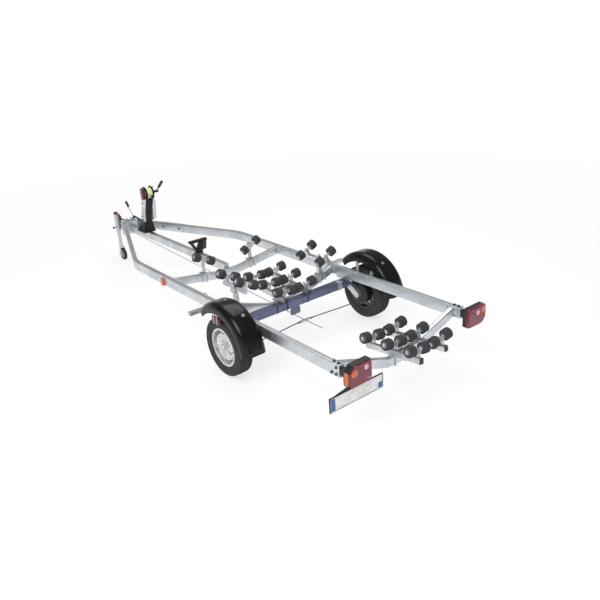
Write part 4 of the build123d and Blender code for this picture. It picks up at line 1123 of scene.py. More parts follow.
    def vent_rims(self, place: Array) -> None:
        """Adds painted shade at the wheel's vents: small dark rings turned about the dish's slope, standing in for
        the shade in the holes.

        Args:
            place: The wheel's middle, its Z along the axle and outward.
        """
        shade_rings, (lean, rise) = Surface(), self.vent_slope
        for k in range(self.vents):
            a = 2 * math.pi * k / self.vents
            spot = put(np.array([self.vent_circle * math.cos(a), self.vent_circle * math.sin(a),
                                 self.face + self.vent_rise]), place)
            way = put(np.array([lean * math.cos(a), lean * math.sin(a), rise]), place) - put(np.zeros(3), place)
            shade_rings.turned(self.vent_shade_ring, facing(tuple(spot), tuple(way)), 20, ring=True)
        shade_rings.piece(f"vent_rims_{self.side.word}", DRUM_BLACK, f"wheel_{self.side.word}")

    def brake(self) -> None:
        """Adds the brake's backplate, a ring turned about the axle, which stays with the trailing arm; its black is
        painted shade, standing in for the shade inside the wheel.
        """
        back = Surface()
        out = (0.0, float(self.side.value), 0.0)
        back.turned(self.backplate, facing((0.0, self.side.value * self.backplate_y, self.radius), out), 48)
        back.piece(f"brake_backplate_{self.side.word}", DRUM_BLACK, "chassis")


@dataclass
class Fenders:
    """Two moulded fenders: arched shells with rounded shoulders and a skirt on both sides, bolted to their stays."""

    x: float = -31.0
    z: float = 290.0
    radius: float = 417.0
    wall: float = 4.0
    inner: float = 735.0
    outer: float = 966.5
    shoulder: float = 60.0
    lip: float = 88.0
    first_angle: float = 47.0
    last_angle: float = 174.0
    bolt_y: float = 830.0
    bolt_angles: tuple[float, ...] = (86.0, 123.0)
    bolt: Fastener = Fastener(19, 8, 17)
    buffer_at: Point = (-424.0, 720.0, 492.0)
    buffer_size: Point = (104.0, 62.0, 14.0)
    pouch_at: Point = (-8.0, 948.0, 556.0)
    pouch_half: Point = (68.0, 13.5, 38.0)
    pouch_square: float = 0.6
    pouch_ends: float = 0.35
    strap_x: tuple[float, float] = (-38.0, 12.0)
    strap_line: Profile = ((961.0, 520.0), (962.2, 560.0), (961.0, 622.0))
    strap_size: tuple[float, float] = (12.0, 2.4)

    def section(self, inset: float) -> Array:
        """Points of (radius, y) from lip to lip: skirt, quarter-circle shoulder, crown, shoulder, skirt.

        Args:
            inset: How far inside the outer face the points lie.

        Returns:
            Array of (n, 2) points; a shoulder's are centre + bend * (cos a, sin a).
        """
        crown, bend = self.radius - inset, self.shoulder - inset
        a = np.linspace(0, np.pi / 2, 12)
        out_y = self.outer - self.shoulder
        curve = np.stack([crown - bend + bend * np.cos(a), out_y + bend * np.sin(a)], 1)
        edge = np.linspace(crown - bend, self.radius - self.lip, 5)[1:]
        skirt = np.stack([edge, np.full_like(edge, self.outer - inset)], 1)
        half = np.concatenate([curve, skirt])
        other = half[::-1] * (1, -1) + (0, self.inner + self.outer)
        return np.concatenate([other, half])

    def build(self) -> None:
        """Builds the shells: the closed section turned about the fender's centre, with both ends closed."""
        outside, inside = self.section(0), self.section(self.wall)
        radius, y = np.concatenate([outside, inside[::-1]]).T
        angle = np.radians(np.linspace(self.first_angle, self.last_angle, 72))
        shell, bolts = Surface(), Surface()
        for side in Side:
            points = np.stack([self.x + np.outer(np.cos(angle), radius),
                               side.value * np.broadcast_to(y, (len(angle), len(y))),
                               self.z + np.outer(np.sin(angle), radius)], -1)
            shell.grid(points, round_v=True)
            half = len(outside)
            for end in (points[0], points[-1]):
                shell.grid(np.stack([end[:half], end[:half - 1:-1]]))
            for a in np.radians(self.bolt_angles):
                out = (math.cos(a), 0, math.sin(a))
                bolts.bolt((self.x + self.radius * out[0], side.value * self.bolt_y, self.z + self.radius * out[2]),
                           out, self.bolt)
        self.pouch()
        self.buffer()
        thing = shell.piece("fender_shells", FENDER_PLASTIC, "chassis", 40)
        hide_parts("fenders")
        bolts.piece("fender_bolts", BRIGHT_ZINC, "chassis", 30)
        finish_cad(ZINC, "fender_stays")

    def buffer(self) -> None:
        """Adds the black rubber buffer on the left rail's side, right behind the fender."""
        block = Surface()
        length, tall, thick = self.buffer_size
        block.plate(rounded_rectangle(length, tall, 10), thick, facing(self.buffer_at, (0, 1, 0)), 3)
        block.piece("rail_side_buffer", ROLLER_RUBBER, "chassis")

    def pouch(self) -> None:
        """Hangs a crimson pouch by two pale straps from the left fender's outer skirt, clear of the tyre.

        A point is middle + (a * sign(cos t) |cos t|^p * (e + (1 - e) s), b * s * sin t, c * w), with the swell
        s = sqrt(1 - w^4), so the pouch bulges at mid height and is drawn together at its top and bottom.
        """
        bag, straps = Surface(), Surface()
        (x, y, z), (half_x, half_y, half_z) = self.pouch_at, self.pouch_half
        t, w = np.meshgrid(np.linspace(0, 2 * np.pi, 41)[:-1], np.linspace(-1, 1, 13), indexing="ij")
        swell = np.sqrt(np.clip(1 - w ** 4, 0.0, 1))
        squared = np.sign(np.cos(t)) * np.abs(np.cos(t)) ** self.pouch_square
        points = np.stack([x + half_x * squared * (self.pouch_ends + (1 - self.pouch_ends) * swell),
                           y + half_y * swell * np.sin(t), z + half_z * w + 0 * t], -1)
        bag.grid(points, round_u=True)
        bag.close(points[:, 0], points[:, -1])
        bag.piece("wheel_pouch", POUCH_CLOTH, "chassis", 60)
        for strap_x in self.strap_x:
            straps.carried(rounded_rectangle(*self.strap_size, 1, 2),
                           np.array([(strap_x, *spot) for spot in self.strap_line]), (1, 0, 0))
        straps.piece("pouch_straps", PALE_STRAP, "chassis")


@dataclass
class RollerGang:
    """The rubber rollers of one cradle or rocker, with their hubs, nuts and caps."""

    name: str
    body: str
    nodes: tuple[str, ...]
    places: list[Array]
    radius: float = 47.0
    half: float = 35.0
    bore: float = 8.3
    hub: float = 30.0
    edge: float = 11.0
    groove: Point = (11.0, 17.0, 1.6)
    hub_dish: float = 22.0

    def build(self) -> None:
        """Builds each roller as a turned profile: rounded edges, two shallow grooves and a recessed hub each side."""
        drums, hubs = Surface(), Surface()
        r, h, e = self.radius, self.half, self.edge
        near, far, deep = self.groove
        dish = self.hub_dish
        edge = [(r - e + e * math.sin(t), h - e + e * math.cos(t)) for t in np.radians([0, 22, 45, 68, 90])]
        profile = mirrored([(self.bore, h - 3), (self.hub, h - 3), (self.hub + 1.5, h), *edge, (r, far),
                            (r - deep, far - 1.5), (r - deep, near + 1.5), (r, near)])
        disc = [(self.bore, h - 4), (self.hub, h - 4), (self.hub, h - 1.2), (self.hub - 2, h - 0.4), (dish, h - 0.4),
                (dish - 1, h - 1.8), (self.bore, h - 1.8)]
        for place in self.places:
            lying = place @ turn("X", 90)
            drums.turned(profile, lying, 32, ring=True)
            hubs.turned(disc, lying, 24, ring=True)
            hubs.turned([(radius, -y) for radius, y in disc], lying, 24, ring=True)
        thing = drums.piece(f"{self.name}_roller_drums", ROLLER_RUBBER, self.body, 40)
        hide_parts(*self.nodes)
        hubs.piece(f"{self.name}_roller_hubs", ROLLER_HUB, self.body, 40)


@dataclass
class Cradles:
    """All the rocking cradles: two with twelve rollers, two with four and two with a pair."""

    beam_y: float = 145.0
    row_pitch: float = 240.0
    cant: float = 8.0
    offset: float = 75.0
    rise: float = 95.0
    beam: tuple[float, float] = (40.0, 46.0)
    overhang: float = 45.0
    beam_rise: float = 12.0
    cap: Point = (3.0, 6.0, 2.0)
    pivots: dict[str, Point] = field(
        default_factory=lambda: {"rear": (-1325.0, 408.0, 6.0), "middle": (340.0, 462.0, -4.0)})
    inner_offset: dict[str, float] = field(default_factory=lambda: {"rear": 75.0, "middle": 90.0})
    outer_pivot: Point = (340.0, 512.0, 632.0)
    outer_cant: float = 25.0
    outer_row: float = 150.0
    outer_offset: float = 85.0
    outer_rise: float = 75.0
    front_pivot: Point = (1280.0, 300.0, 636.0)
    front_cant: float = 25.0
    front_hub_x: float = -33.0
    front_offset: float = 90.0

    def build(self) -> None:
        """Builds the rollers of every cradle and the caps on its beams."""
        for name, (x, z, tilt) in self.pivots.items():
            base = shift(x, 0, z) @ turn("Y", tilt)
            beams = [base @ shift(0, s * self.beam_y, 0) @ turn("X", s * self.cant) for s in (-1, 1)]
            inner = self.inner_offset[name]
            places = [beam @ shift(row * self.row_pitch, y, self.rise)
                      for beam, ends in zip(beams, ((-self.offset, inner), (-inner, self.offset)))
                      for row in (-1, 0, 1) for y in ends]
            RollerGang(name, f"{name}_cradle", (f"{name}_cradle_rollers",), places).build()
            self.caps(name, beams)
            finish_cad(ZINC, f"{name}_cradle_frame")
        for side in Side:
            x, y, z = self.outer_pivot
            base = shift(x, side.value * y, z) @ turn("X", side.value * self.outer_cant)
            places = [base @ shift(row * self.outer_row, end * self.outer_offset, self.outer_rise)
                      for row in (-1, 1) for end in (-1, 1)]
            RollerGang(f"outer_{side.word}", f"outer_cradle_{side.word}", (f"outer_cradle_rollers_{side.word}",),
                       places).build()
            x, y, z = self.front_pivot
            base = shift(x, side.value * y, z) @ turn("X", side.value * self.front_cant)
            places = [base @ shift(self.front_hub_x, end * self.front_offset, 0) for end in (-1, 1)]
            RollerGang(f"front_{side.word}", f"front_rocker_{side.word}", (f"front_rocker_rollers_{side.word}",),
                       places).build()
            finish_cad(ZINC, f"outer_cradle_frame_{side.word}", f"front_rocker_frame_{side.word}")
        finish_cad(ZINC, "cradle_carriers", "roller_posts")

    def caps(self, name: str, beams: list[Array]) -> None:
        """Adds a black cap, a plate with broken edges, on both ends of each beam.

        Args:
            name: The cradle's name.
            beams: The beams' places, each with its X along the beam.
        """
        caps = Surface()
        wide, tall = self.beam
        lap, thick, sunk = self.cap
        reach = self.row_pitch + self.overhang - sunk
        outline = rounded_rectangle(tall + lap, wide + lap, 5)
        for beam in beams:
            for end in (-1, 1):
                caps.plate(outline, thick, beam @ shift(end * reach, 0, self.beam_rise) @ turn("Y", end * 90), 1.5)
        caps.piece(f"{name}_beam_caps", BLACK_PLASTIC, f"{name}_cradle")


@dataclass
class Lamps:
    """Rear lamps, side markers and the blank number plate."""

    back_x: float = -1450.0
    depth: float = 55.0
    lens_depth: float = 16.0
    left_y: float = 684.0
    right_y: float = 650.0
    centre_z: float = 527.0
    width: float = 215.0
    height: float = 160.0
    cut: float = 46.0
    lens_wrap: float = 20.0
    lens_proud: float = 1.6
    hood_depth: float = 58.0
    hood_ahead: float = 27.0
    hood_section: tuple[float, float] = (6.0, 2.4)
    hood_bend: float = 24.0
    side_lens: Point = (42.0, 104.0, 6.4)
    side_lens_at: tuple[float, float] = (-16.0, -22.0)
    dome: Profile = ((0, 0), (30, 0), (29, 1.5), (20, 3.4), (10, 4.4), (0, 4.8))
    # Painted highlight: a pale pink dome, this share of the amber dome's size, on each red lens; lights gives per
    # side the amber dome's middle, then the highlight's.
    highlight_share: float = 0.7
    lights: dict[Side, tuple[float, float, float, float]] = field(
        default_factory=lambda: {Side.LEFT: (64.0, 26.0, -52.0, 40.0), Side.RIGHT: (70.0, -46.0, 4.0, -34.0)})
    plate: tuple[float, float] = (520.0, 110.0)
    plate_y: float = 696.0
    plate_z: float = 361.0
    band_width: float = 40.0
    band_inset: float = 26.0
    band_margins: tuple[float, float] = (12.0, 9.0)
    border_radius: float = 3.4

    def outline(self, margin: float, radius: float) -> Array:
        """The lamp's outline about its middle, its left upper corner cut off.

        Args:
            margin: How far the outline is drawn in.
            radius: How far back from a corner its curve starts.

        Returns:
            Array of (n, 2) points.
        """
        wide, tall = self.width / 2 - margin, self.height / 2 - margin
        return rounded_outline([(-wide, -tall), (wide, -tall), (wide, tall - self.cut), (wide - self.cut, tall),
                                (-wide, tall)], radius)

    def places(self) -> dict[Side, Array]:
        """Each lamp's place: its X runs to the left, its Y up and its Z rearward; the right one is upside down.

        Returns:
            A 4 x 4 matrix for each side.
        """
        rear = np.array([[0.0, 0, -1, 0], [1, 0, 0, 0], [0, 1, 0, 0], [0, 0, 0, 1]])
        x = self.back_x - self.depth
        return {Side.LEFT: shift(x, self.left_y, self.centre_z) @ rear,
                Side.RIGHT: shift(x, -self.right_y, self.centre_z) @ rear @ turn("Z", 180)}

    def build(self) -> None:
        """Builds each lamp's lens and its lights, turned domes on its face, one of them a painted highlight, and
        finishes the housings.
        """
        finish_cad(BLACK_PLASTIC, "lamp_housings", "plate_holder")
        finish_cad(AMBER_LENS, "side_markers")
        finish_cad(PLATE_WHITE, "number_plate")
        red, amber, pale = Surface(), Surface(), Surface()
        length, tall, thick = self.side_lens
        low, ahead = self.side_lens_at
        for side, place in self.places().items():
            red.plate(self.outline(-self.lens_proud, 20), self.lens_depth + self.lens_wrap - 1,
                      place @ shift(0, 0, -self.lens_wrap), 5)
            outer_face = place @ shift(self.width / 2 + 0.6, low, ahead) @ turn("Y", 90)
            amber.plate(rounded_rectangle(length, tall, 6), thick, outer_face, 2)
            amber_x, amber_y, pale_x, pale_y = self.lights[side]
            amber.turned(self.dome, place @ shift(amber_x, amber_y, self.lens_depth - 0.6), 28)
            pale.turned([(r * self.highlight_share, h) for r, h in self.dome],
                        place @ shift(pale_x, pale_y, self.lens_depth - 0.6), 28)
        thing = red.piece("lamp_red_lenses", RED_LENS, "chassis")
        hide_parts("lamp_lenses")
        amber.piece("lamp_amber_lenses", AMBER_LENS, "chassis")
        pale.piece("lamp_painted_highlights", HIGHLIGHT_LENS, "chassis")
        self.hoods()
        self.plate_trim()

    def hoods(self) -> None:
        """Adds the lamps' black hoods, each a flat section carried along its line.

        The left one goes over the side, the cut corner and the top. Known fault: the right one's three points lie in
        one line, for which bent_line has no arc, so it collapses to a point and doesn't show.
        """
        hood = Surface()
        wide, tall = self.width / 2 + 1, self.height / 2 + 1.5
        top, x = self.centre_z + tall, self.back_x - self.hood_ahead
        cut_z = self.centre_z + tall - self.cut
        left = [(x, self.left_y + wide, self.centre_z - tall * 0.9), (x, self.left_y + wide, cut_z),
                (x, self.left_y + wide - self.cut, top), (x, self.left_y - wide, top)]
        right = [(x, across - self.right_y, top) for across in (-wide, 0.0, wide)]
        thick, edge = self.hood_section
        for corners in (left, right):
            hood.carried(rounded_rectangle(self.hood_depth, thick, edge), bent_line(corners, self.hood_bend, 6),
                         (1, 0, 0))
        hood.piece("lamp_hoods", BLACK_PLASTIC, "chassis")

    def plate_trim(self) -> None:
        """Adds the plate's two plain end bands and its black border, a round tube about the plate's outline."""
        bands, border = Surface(), Surface()
        length, tall = self.plate
        x = (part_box("number_plate")[0].x - WHEEL_LINE_M) * MM_PER_M
        end = length / 2 - self.band_inset
        full, half = self.band_margins
        for y, z, high in ((end, 0.0, tall - full), (-end, -tall / 4, tall / 2 - half)):
            bands.plate(rounded_rectangle(high, self.band_width, 4), 1.0,
                        facing((x + 0.2, self.plate_y + y, self.plate_z + z), (-1, 0, 0), 90), 0.3)
        centre = np.array([x - 0.4, self.plate_y, self.plate_z])
        path = [centre + (0, u, v) for u, v in rounded_rectangle(length + 4, tall + 4, 10, 4)]
        ring = np.array(path + path[:1])
        a = np.arange(8) * np.pi / 4
        out = (ring - centre) / np.linalg.norm(ring - centre, axis=1, keepdims=True)
        tube = ring[:-1, None] + self.border_radius * (np.cos(a)[None, :, None] * out[:-1, None]
                                                       + np.sin(a)[None, :, None] * np.array([1.0, 0, 0]))
        border.grid(tube, round_u=True, round_v=True)
        bands.piece("plate_bands", PLATE_BLUE, "chassis")
        border.piece("plate_border", BLACK_PLASTIC, "chassis")


@dataclass
class Winch:
    """Hand winch on its stand: webbing on the drum, maroon brake cover, crank, pawl lever and hook."""

    x: float = 2990.0
    z: float = 1017.0
    strap_radius: float = 62.0
    strap_half: float = 36.0
    strap_turns: int = 9
    core: float = 24.3
    edge_steps: Profile = ((0.0, 1.6), (0.35, 0.2), (0.65, 0.2))
    plate_y: float = 55.0
    flange_foot: Point = (3094.0, 56.0, 640.0)
    flange_head: Point = (3046.0, 53.0, 915.0)
    flange_size: tuple[float, float] = (62.0, 4.0)
    lip_line: tuple[Point, Point] = ((3064.0, -74.0, 650.0), (3016.0, -78.0, 915.0))
    lip_size: tuple[float, float] = (4.0, 44.0)
    hook_section: tuple[float, float] = (9.0, 4.4)
    plate_bolts: Profile = ((3146.0, 700.0), (3085.0, 880.0))
    plate_bolt: Fastener = Fastener(17, 9, 14, 6)
    cover_y: float = 87.0
    cover_bolt: Fastener = Fastener(19, 8, 14, 5)
    cover_screws: float = 52.0
    cover_screw: Fastener = Fastener(10, 4, 7)
    crank_y: float = -134.0
    crank_nut: Fastener = Fastener(22, 9, 15)
    pawl_line: Profile = ((10.0, 12.0), (-20.0, 40.0), (-34.0, 84.0))
    pawl_pin: tuple[float, float] = (-20.0, 34.0)
    pawl_gap: float = 9.0

    def build(self) -> None:
        """Builds the roll of webbing, its turns as steps in the sides of a turned profile, and the small parts."""
        finish_cad(BLACK_PAINT, "winch_stand", "winch_drum")
        finish_cad(ZINC, "winch_plates")
        finish_cad(MAROON_PAINT, "winch_cover")
        finish_cad(BLACK_PLASTIC, "winch_grip")
        radius, half = self.strap_radius, self.strap_half
        step = (radius - self.core) / self.strap_turns
        sides = [(self.core + (k + part) * step, half - drop) for k in range(self.strap_turns)
                 for part, drop in self.edge_steps]
        profile = mirrored(sides + [(radius, half - 1.6), (radius, 14.0), (radius - 0.7, 12.0), (radius - 0.7, 6.0),
                                    (radius, 4.0)])
        roll = Surface()
        roll.turned(profile, facing((self.x, 0, self.z), (0, 1, 0)), 48, ring=True)
        thing = roll.piece("strap_roll", STRAP, "winch_rotor", 50)
        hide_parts("winch_strap")
        self.hook()
        self.flanges()
        self.fittings()

    def hook(self) -> None:
        """Builds the strap's snap hook, carried round a bent line close under the drum."""
        hook = Surface()
        x, z = self.x - self.strap_radius - 8, self.z - 62
        size, edge = self.hook_section
        line = bent_line([(x, -12, z + 30), (x - 6, -12, z - 18), (x + 24, -12, z - 26), (x + 20, -12, z + 6)], 12, 8)
        hook.carried(rounded_rectangle(size, size, edge, 3), line, (0, 1, 0))
        hook.rod((x, -34, z + 30), (x, 12, z + 30), 5)
        hook.piece("strap_hook", BLACK_PAINT, "winch_rotor")

    def flanges(self) -> None:
        """Builds the galvanised flanges along the stand's lean, and the lip that turns outward from the right one."""
        sides = Surface()
        wide, thick = self.flange_size
        for y in (-1, 1):
            spine = np.array([self.flange_foot, self.flange_head]) * (1, y, 1)
            sides.carried(rounded_rectangle(wide, thick, 1.5, 2), spine, (1, 0, 0))
        sides.carried(rounded_rectangle(*self.lip_size, 1.5, 2), np.array(self.lip_line), (1, 0, 0))
        sides.piece("winch_side_flanges", ZINC, "chassis", 40)

    def fittings(self) -> None:
        """Adds the nuts on the side plates, the cover's screws and the pawl lever, a flat bar along a bent line."""
        bolts, lever = Surface(), Surface()
        for y in (-1, 1):
            for x, z in self.plate_bolts:
                bolts.bolt((x, y * self.plate_y, z), (0, y, 0), self.plate_bolt)
        bolts.bolt((self.x, self.cover_y, self.z), (0, 1, 0), self.cover_bolt)
        for dz in (-self.cover_screws, self.cover_screws):
            bolts.bolt((self.x, self.cover_y, self.z + dz), (0, 1, 0), self.cover_screw)
        bolts.bolt((self.x, self.crank_y, self.z), (0, -1, 0), self.crank_nut)
        pin_x, pin_z = self.x + self.pawl_pin[0], self.z + self.pawl_pin[1]
        lever.rod((pin_x, -self.plate_y, pin_z), (pin_x, -self.plate_y - 12, pin_z), 7)
        line = bent_line([(self.x + dx, -self.plate_y - self.pawl_gap, self.z + dz) for dx, dz in self.pawl_line],
                         30, 6)
        lever.carried(rounded_rectangle(16, 4, 1.6, 2), line, (0, 1, 0))
        bolts.piece("winch_nuts", BRIGHT_ZINC, "chassis", 30)
        lever.piece("winch_pawl_lever", BRIGHT_ZINC, "chassis")


@dataclass
class KeelRest:
    """Black yoke on the drawbar, with the bolts through its cheeks and a rubber face."""

    x: float = 1880.0
    foot_z: float = 485.0
    bar_half: float = 30.0
    cheek: float = 13.0
    bolt_x: float = 11.0
    bolt_drop: float = 24.0
    bolt: Fastener = Fastener(13, 6, 9)
    pad_foot: tuple[float, float] = (-66.0, 520.0)
    pad_head: tuple[float, float] = (-80.0, 628.0)
    pad_ahead: float = -4.0
    pad_half: tuple[float, float] = (34.0, 30.0)
    pad_waist: float = 0.35

    def build(self) -> None:
        """Finishes the yoke, and adds two nuts on each cheek and the pad."""
        finish_cad(BLACK_PAINT, "keel_rest")
        bolts = Surface()
        for y in (-1, 1):
            for dx in (-self.bolt_x, self.bolt_x):
                bolts.bolt((self.x + dx, y * (self.bar_half + self.cheek), self.foot_z - self.bolt_drop), (0, y, 0),
                           self.bolt)
        bolts.piece("keel_rest_nuts", BRIGHT_ZINC, "chassis", 30)
        self.pad()

    def pad(self) -> None:
        """Adds the rubber pad: at w from -1 to 1 along its middle line, an ellipse (a s cos t, b s sin t).

        Its swell s = sqrt(1 - waist * w^6) draws both ends in.
        """
        pad = Surface()
        t, w = np.meshgrid(np.linspace(0, 2 * np.pi, 33)[:-1], np.linspace(-1, 1, 9), indexing="ij")
        swell = np.sqrt(np.clip(1 - self.pad_waist * w ** 6, 0.0, 1))
        low, high = [np.array([self.x + self.pad_ahead, *end]) for end in (self.pad_foot, self.pad_head)]
        middle = (low + high) / 2 + (high - low) / 2 * w[..., None]
        half_x, half_y = self.pad_half
        points = middle + np.stack([half_x * swell * np.cos(t), half_y * swell * np.sin(t), 0 * t], -1)
        pad.grid(points, round_u=True)
        pad.close(points[:, 0], points[:, -1])
        pad.piece("keel_rest_pad", ROLLER_RUBBER, "chassis", 60)


@dataclass
class Coupling:
    """Overrun coupling: flange and nose bolts, folded boot, ball head, handbrake lever and brake gear."""

    nose_x: float = 3652.0
    z: float = 462.0
    housing_length: float = 230.0
    housing_half: float = 50.0
    flange: tuple[float, float] = (132.0, 8.0)
    flange_bolts: float = 57.0
    flange_bolt: Fastener = Fastener(13, 7, 8)
    nose_bolts: Point = (128.0, -12.0, 66.0)
    nose_bolt: Fastener = Fastener(19, 10, 16, 7)
    side_bolts: tuple[float, float] = (60.0, 175.0)
    side_bolt: Fastener = Fastener(17, 8, 13, 4)
    head_bolt_at: Point = (372.0, 33.0, 4.0)
    head_bolt: Fastener = Fastener(17, 8, 13, 5)
    nipples: tuple[float, float] = (90.0, 160.0)
    nipple: Profile = ((0, 0), (7, 0), (7, 5), (3, 7), (3, 12), (4.5, 14), (3, 17), (0, 18))
    bellows_length: float = 87.4
    bellows_radius: float = 42.0
    fold_depth: float = 3.6
    folds: int = 5
    tube_radius: float = 24.3
    cable_boot_at: Point = (-30.0, 60.6, 236.0)
    cable_boot: Profile = ((5.3, 0), (9, 0), (9, 8), (8, 12), (8.5, 18), (7.2, 24), (7.6, 30), (6.2, 38), (5.3, 52))
    lever: Point = (3707.0, -86.0, 535.0)
    lever_angle: float = 43.0
    grip: tuple[float, float] = (203.0, 293.0)
    grip_radius: float = 17.0
    hand_grip: tuple[Point, ...] = ((3500.0, -60.0, 536.0), (3506.0, -60.0, 566.0), (3690.0, -60.0, 584.0),
                                    (3694.0, -60.0, 516.0))
    hand_grip_size: tuple[float, float] = (24.0, 11.0)

    def build(self) -> None:
        """Builds the boot as a turned wave, r = mean - swing * cos, and the small parts round it."""
        finish_cad(ZINC, "overrun_housing", "coupling_head", "brake_linkage")
        finish_cad(BRIGHT_ZINC, "handbrake_lever")
        finish_cad(RED_PLASTIC, "coupling_handle")
        finish_cad(CABLE_SHEATH, "brake_cables")
        boots, boot = Surface(), Surface()
        x, y, z = self.cable_boot_at
        for side in (-1, 1):
            boots.turned(self.cable_boot, facing((x, side * y, z), (0, side, 0)), 20, ring=True)
        boots.piece("cable_boots", RED_PLASTIC, "chassis")
        along = np.linspace(0, 1, 41)
        swing = self.fold_depth
        radius = self.bellows_radius - swing - swing * np.cos(2 * np.pi * self.folds * along)
        length = self.bellows_length
        profile = [(self.tube_radius, 0.0), *zip(radius, along * length), (self.tube_radius, length)]
        start = (self.nose_x + self.housing_length + 0.3, 0.0, self.z)
        boot.turned(profile, facing(start, (1, 0, 0)), 36, ring=True)
        thing = boot.piece("coupling_boot", ROLLER_RUBBER, "chassis", 60)
        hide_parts("bellows")
        self.fasteners()
        self.handbrake_grip()
        self.towing_grip()

    def fasteners(self) -> None:
        """Adds the housing's flange, the nose plate's bolts, the head's through bolts and the grease nipples."""
        bolts, flange, nipples = Surface(), Surface(), Surface()
        size, thick = self.flange
        flange.plate(rounded_rectangle(size, size, 16), thick, facing((self.nose_x, 0, self.z), (1, 0, 0)), 1.5)
        reach = self.flange_bolts
        nose_y, nose_low, nose_z = self.nose_bolts
        head_x, head_y, head_z = self.head_bolt_at
        for y in (-1, 1):
            for z in (-1, 1):
                bolts.bolt((self.nose_x + thick, y * reach, self.z + z * reach), (1, 0, 0), self.flange_bolt)
                bolts.bolt((self.nose_x, y * nose_y, self.z + nose_low + z * nose_z), (1, 0, 0), self.nose_bolt)
            for x in self.side_bolts:
                bolts.bolt((self.nose_x + x, y * self.housing_half, self.z), (0, y, 0), self.side_bolt)
            bolts.bolt((self.nose_x + head_x, y * head_y, self.z + head_z), (0, y, 0), self.head_bolt)
        for x in self.nipples:
            nipples.turned(self.nipple, facing((self.nose_x + x, 22, self.z + self.housing_half), (0, 0, 1)), 10)
        flange.piece("housing_flange", ZINC, "chassis")
        bolts.piece("coupling_bolts", BRIGHT_ZINC, "chassis", 30)
        nipples.piece("grease_nipples", BRIGHT_ZINC, "chassis")

    def handbrake_grip(self) -> None:
        """Builds the lever's ribbed black grip, turned about the lever."""
        a = math.radians(self.lever_angle)
        way = np.array([math.cos(a), 0.0, math.sin(a)])
        start, end = (np.array(self.lever) + way * g for g in self.grip)
        length = float(np.linalg.norm(end - start))
        r = self.grip_radius
        ribs = [(r - (1.2 if k % 2 else 0.0), 8 + k * (length - 16) / 14) for k in range(15)]
        grip = Surface()
        grip.turned([(0, -2), (r - 3, -2), (r, 2), *ribs, (r, length - 2), (r - 4, length + 3), (0, length + 4)],
                    facing(tuple(start), tuple(way)), 24)
        grip.piece("handbrake_grip", BLACK_PLASTIC, "chassis", 50)

    def towing_grip(self) -> None:
        """Builds the black hand grip beside the nose plate, a round section carried along its bent line."""
        grip = Surface()
        size, edge = self.hand_grip_size
        grip.carried(rounded_rectangle(size, size, edge, 3), bent_line(list(self.hand_grip), 24, 6), (0, 1, 0))
        grip.piece("towing_hand_grip", BLACK_PLASTIC, "chassis", 50)


@dataclass
class Jockey:
    """Jockey wheel: red winding cap with its crank, clamp knob, and a solid tyre on a grey hub."""

    x: float = 3770.0
    y: float = 150.0
    top: float = 640.0
    sleeve_radius: float = 30.0
    cap_height: float = 26.0
    arm: float = 105.0
    arm_section: tuple[float, float] = (15.0, 6.0)
    handle: tuple[float, float] = (14.0, 70.0)
    knob_z: float = 462.0
    knob: Profile = ((0, 0), (6, 0), (6, 16), (12, 18), (13, 22), (13, 38), (10, 44), (0, 45))
    trail: float = 25.0
    wheel: tuple[float, float] = (85.0, 21.0)

    def build(self) -> None:
        """Builds the cap, crank, knob and tyre as turned shapes, and finishes the tubes and fork."""
        finish_cad(ZINC, "jockey_sleeve", "jockey_fork")
        finish_cad(BRIGHT_ZINC, "jockey_leg")
        cap, arm, black, knob = Surface(), Surface(), Surface(), Surface()
        up = (0, 0, 1)
        r, h = self.sleeve_radius, self.cap_height
        cap.turned([(0, 0), (r, 0), (r, h * 0.3), (r - 1.5, h * 0.35), (r - 1.5, h * 0.6), (r, h * 0.65),
                    (r - 1, h - 4), (r - 5, h), (0, h)], facing((self.x, self.y, self.top), up), 32)
        radius, length = self.handle
        end_x, arm_z = self.x - self.arm, self.top + h / 2
        low = arm_z - length
        cap.turned([(0, 0), (radius - 2, 0), (radius, 2), (radius - 2, length * 0.5), (radius, length - 6),
                    (radius - 3, length - 2), (0, length - 2)], facing((end_x, self.y, low), up), 24)
        size, edge = self.arm_section
        arm.carried(rounded_rectangle(size, size, edge, 3),
                    np.array([(self.x - r + 3, self.y, arm_z), (end_x - 6, self.y, arm_z)]), (0, 1, 0))
        black.turned([(0, 0), (radius - 3, 0), (radius, 2), (radius, 9), (radius - 4, 11), (0, 11)],
                     facing((end_x, self.y, low - 10), up), 24)
        knob.turned(self.knob, facing((self.x, self.y + r, self.knob_z), (0, 1, 0)), 8)
        thing = cap.piece("jockey_winding_cap", RED_PLASTIC, "chassis")
        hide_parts("jockey_cap")
        arm.piece("jockey_crank_arm", DARK_ZINC, "chassis")
        black.piece("jockey_handle_end", BLACK_PLASTIC, "chassis")
        knob.piece("jockey_clamp_knob", BLACK_PLASTIC, "chassis", 50)
        self.tyre()

    def tyre(self) -> None:
        """Builds the solid tyre and its hub, both turned about the wheel's axle."""
        radius, half = self.wheel
        place = facing((self.x - self.trail, self.y, radius), (0, 1, 0))
        tyre, hub = Surface(), Surface()
        tyre.turned(mirrored([(56, half - 4), (60, half - 1), (70, half), (77, half - 2), (82, half - 6.5),
                              (84, half - 11), (radius, 6), (radius - 2, 4.5)]), place, 40, ring=True)
        hub.turned(mirrored([(8.4, half - 2), (22, half - 2), (24, half - 8), (50, half - 8), (53, half - 4),
                             (56, half - 4.2)]), place, 32, ring=True)
        thing = tyre.piece("jockey_tyre", TYRE_RUBBER, "jockey_roller", 50)
        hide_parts("jockey_wheel")
        hub.piece("jockey_hub", HUB_GREY, "jockey_roller", 40)


@dataclass(frozen=True)
class Softbox:
    """A square area lamp: where it stands and what it is aimed at, in metres, its size and its power in watts."""

    name: str
    spot: Point
    aim: Point
    size: float
    power: float


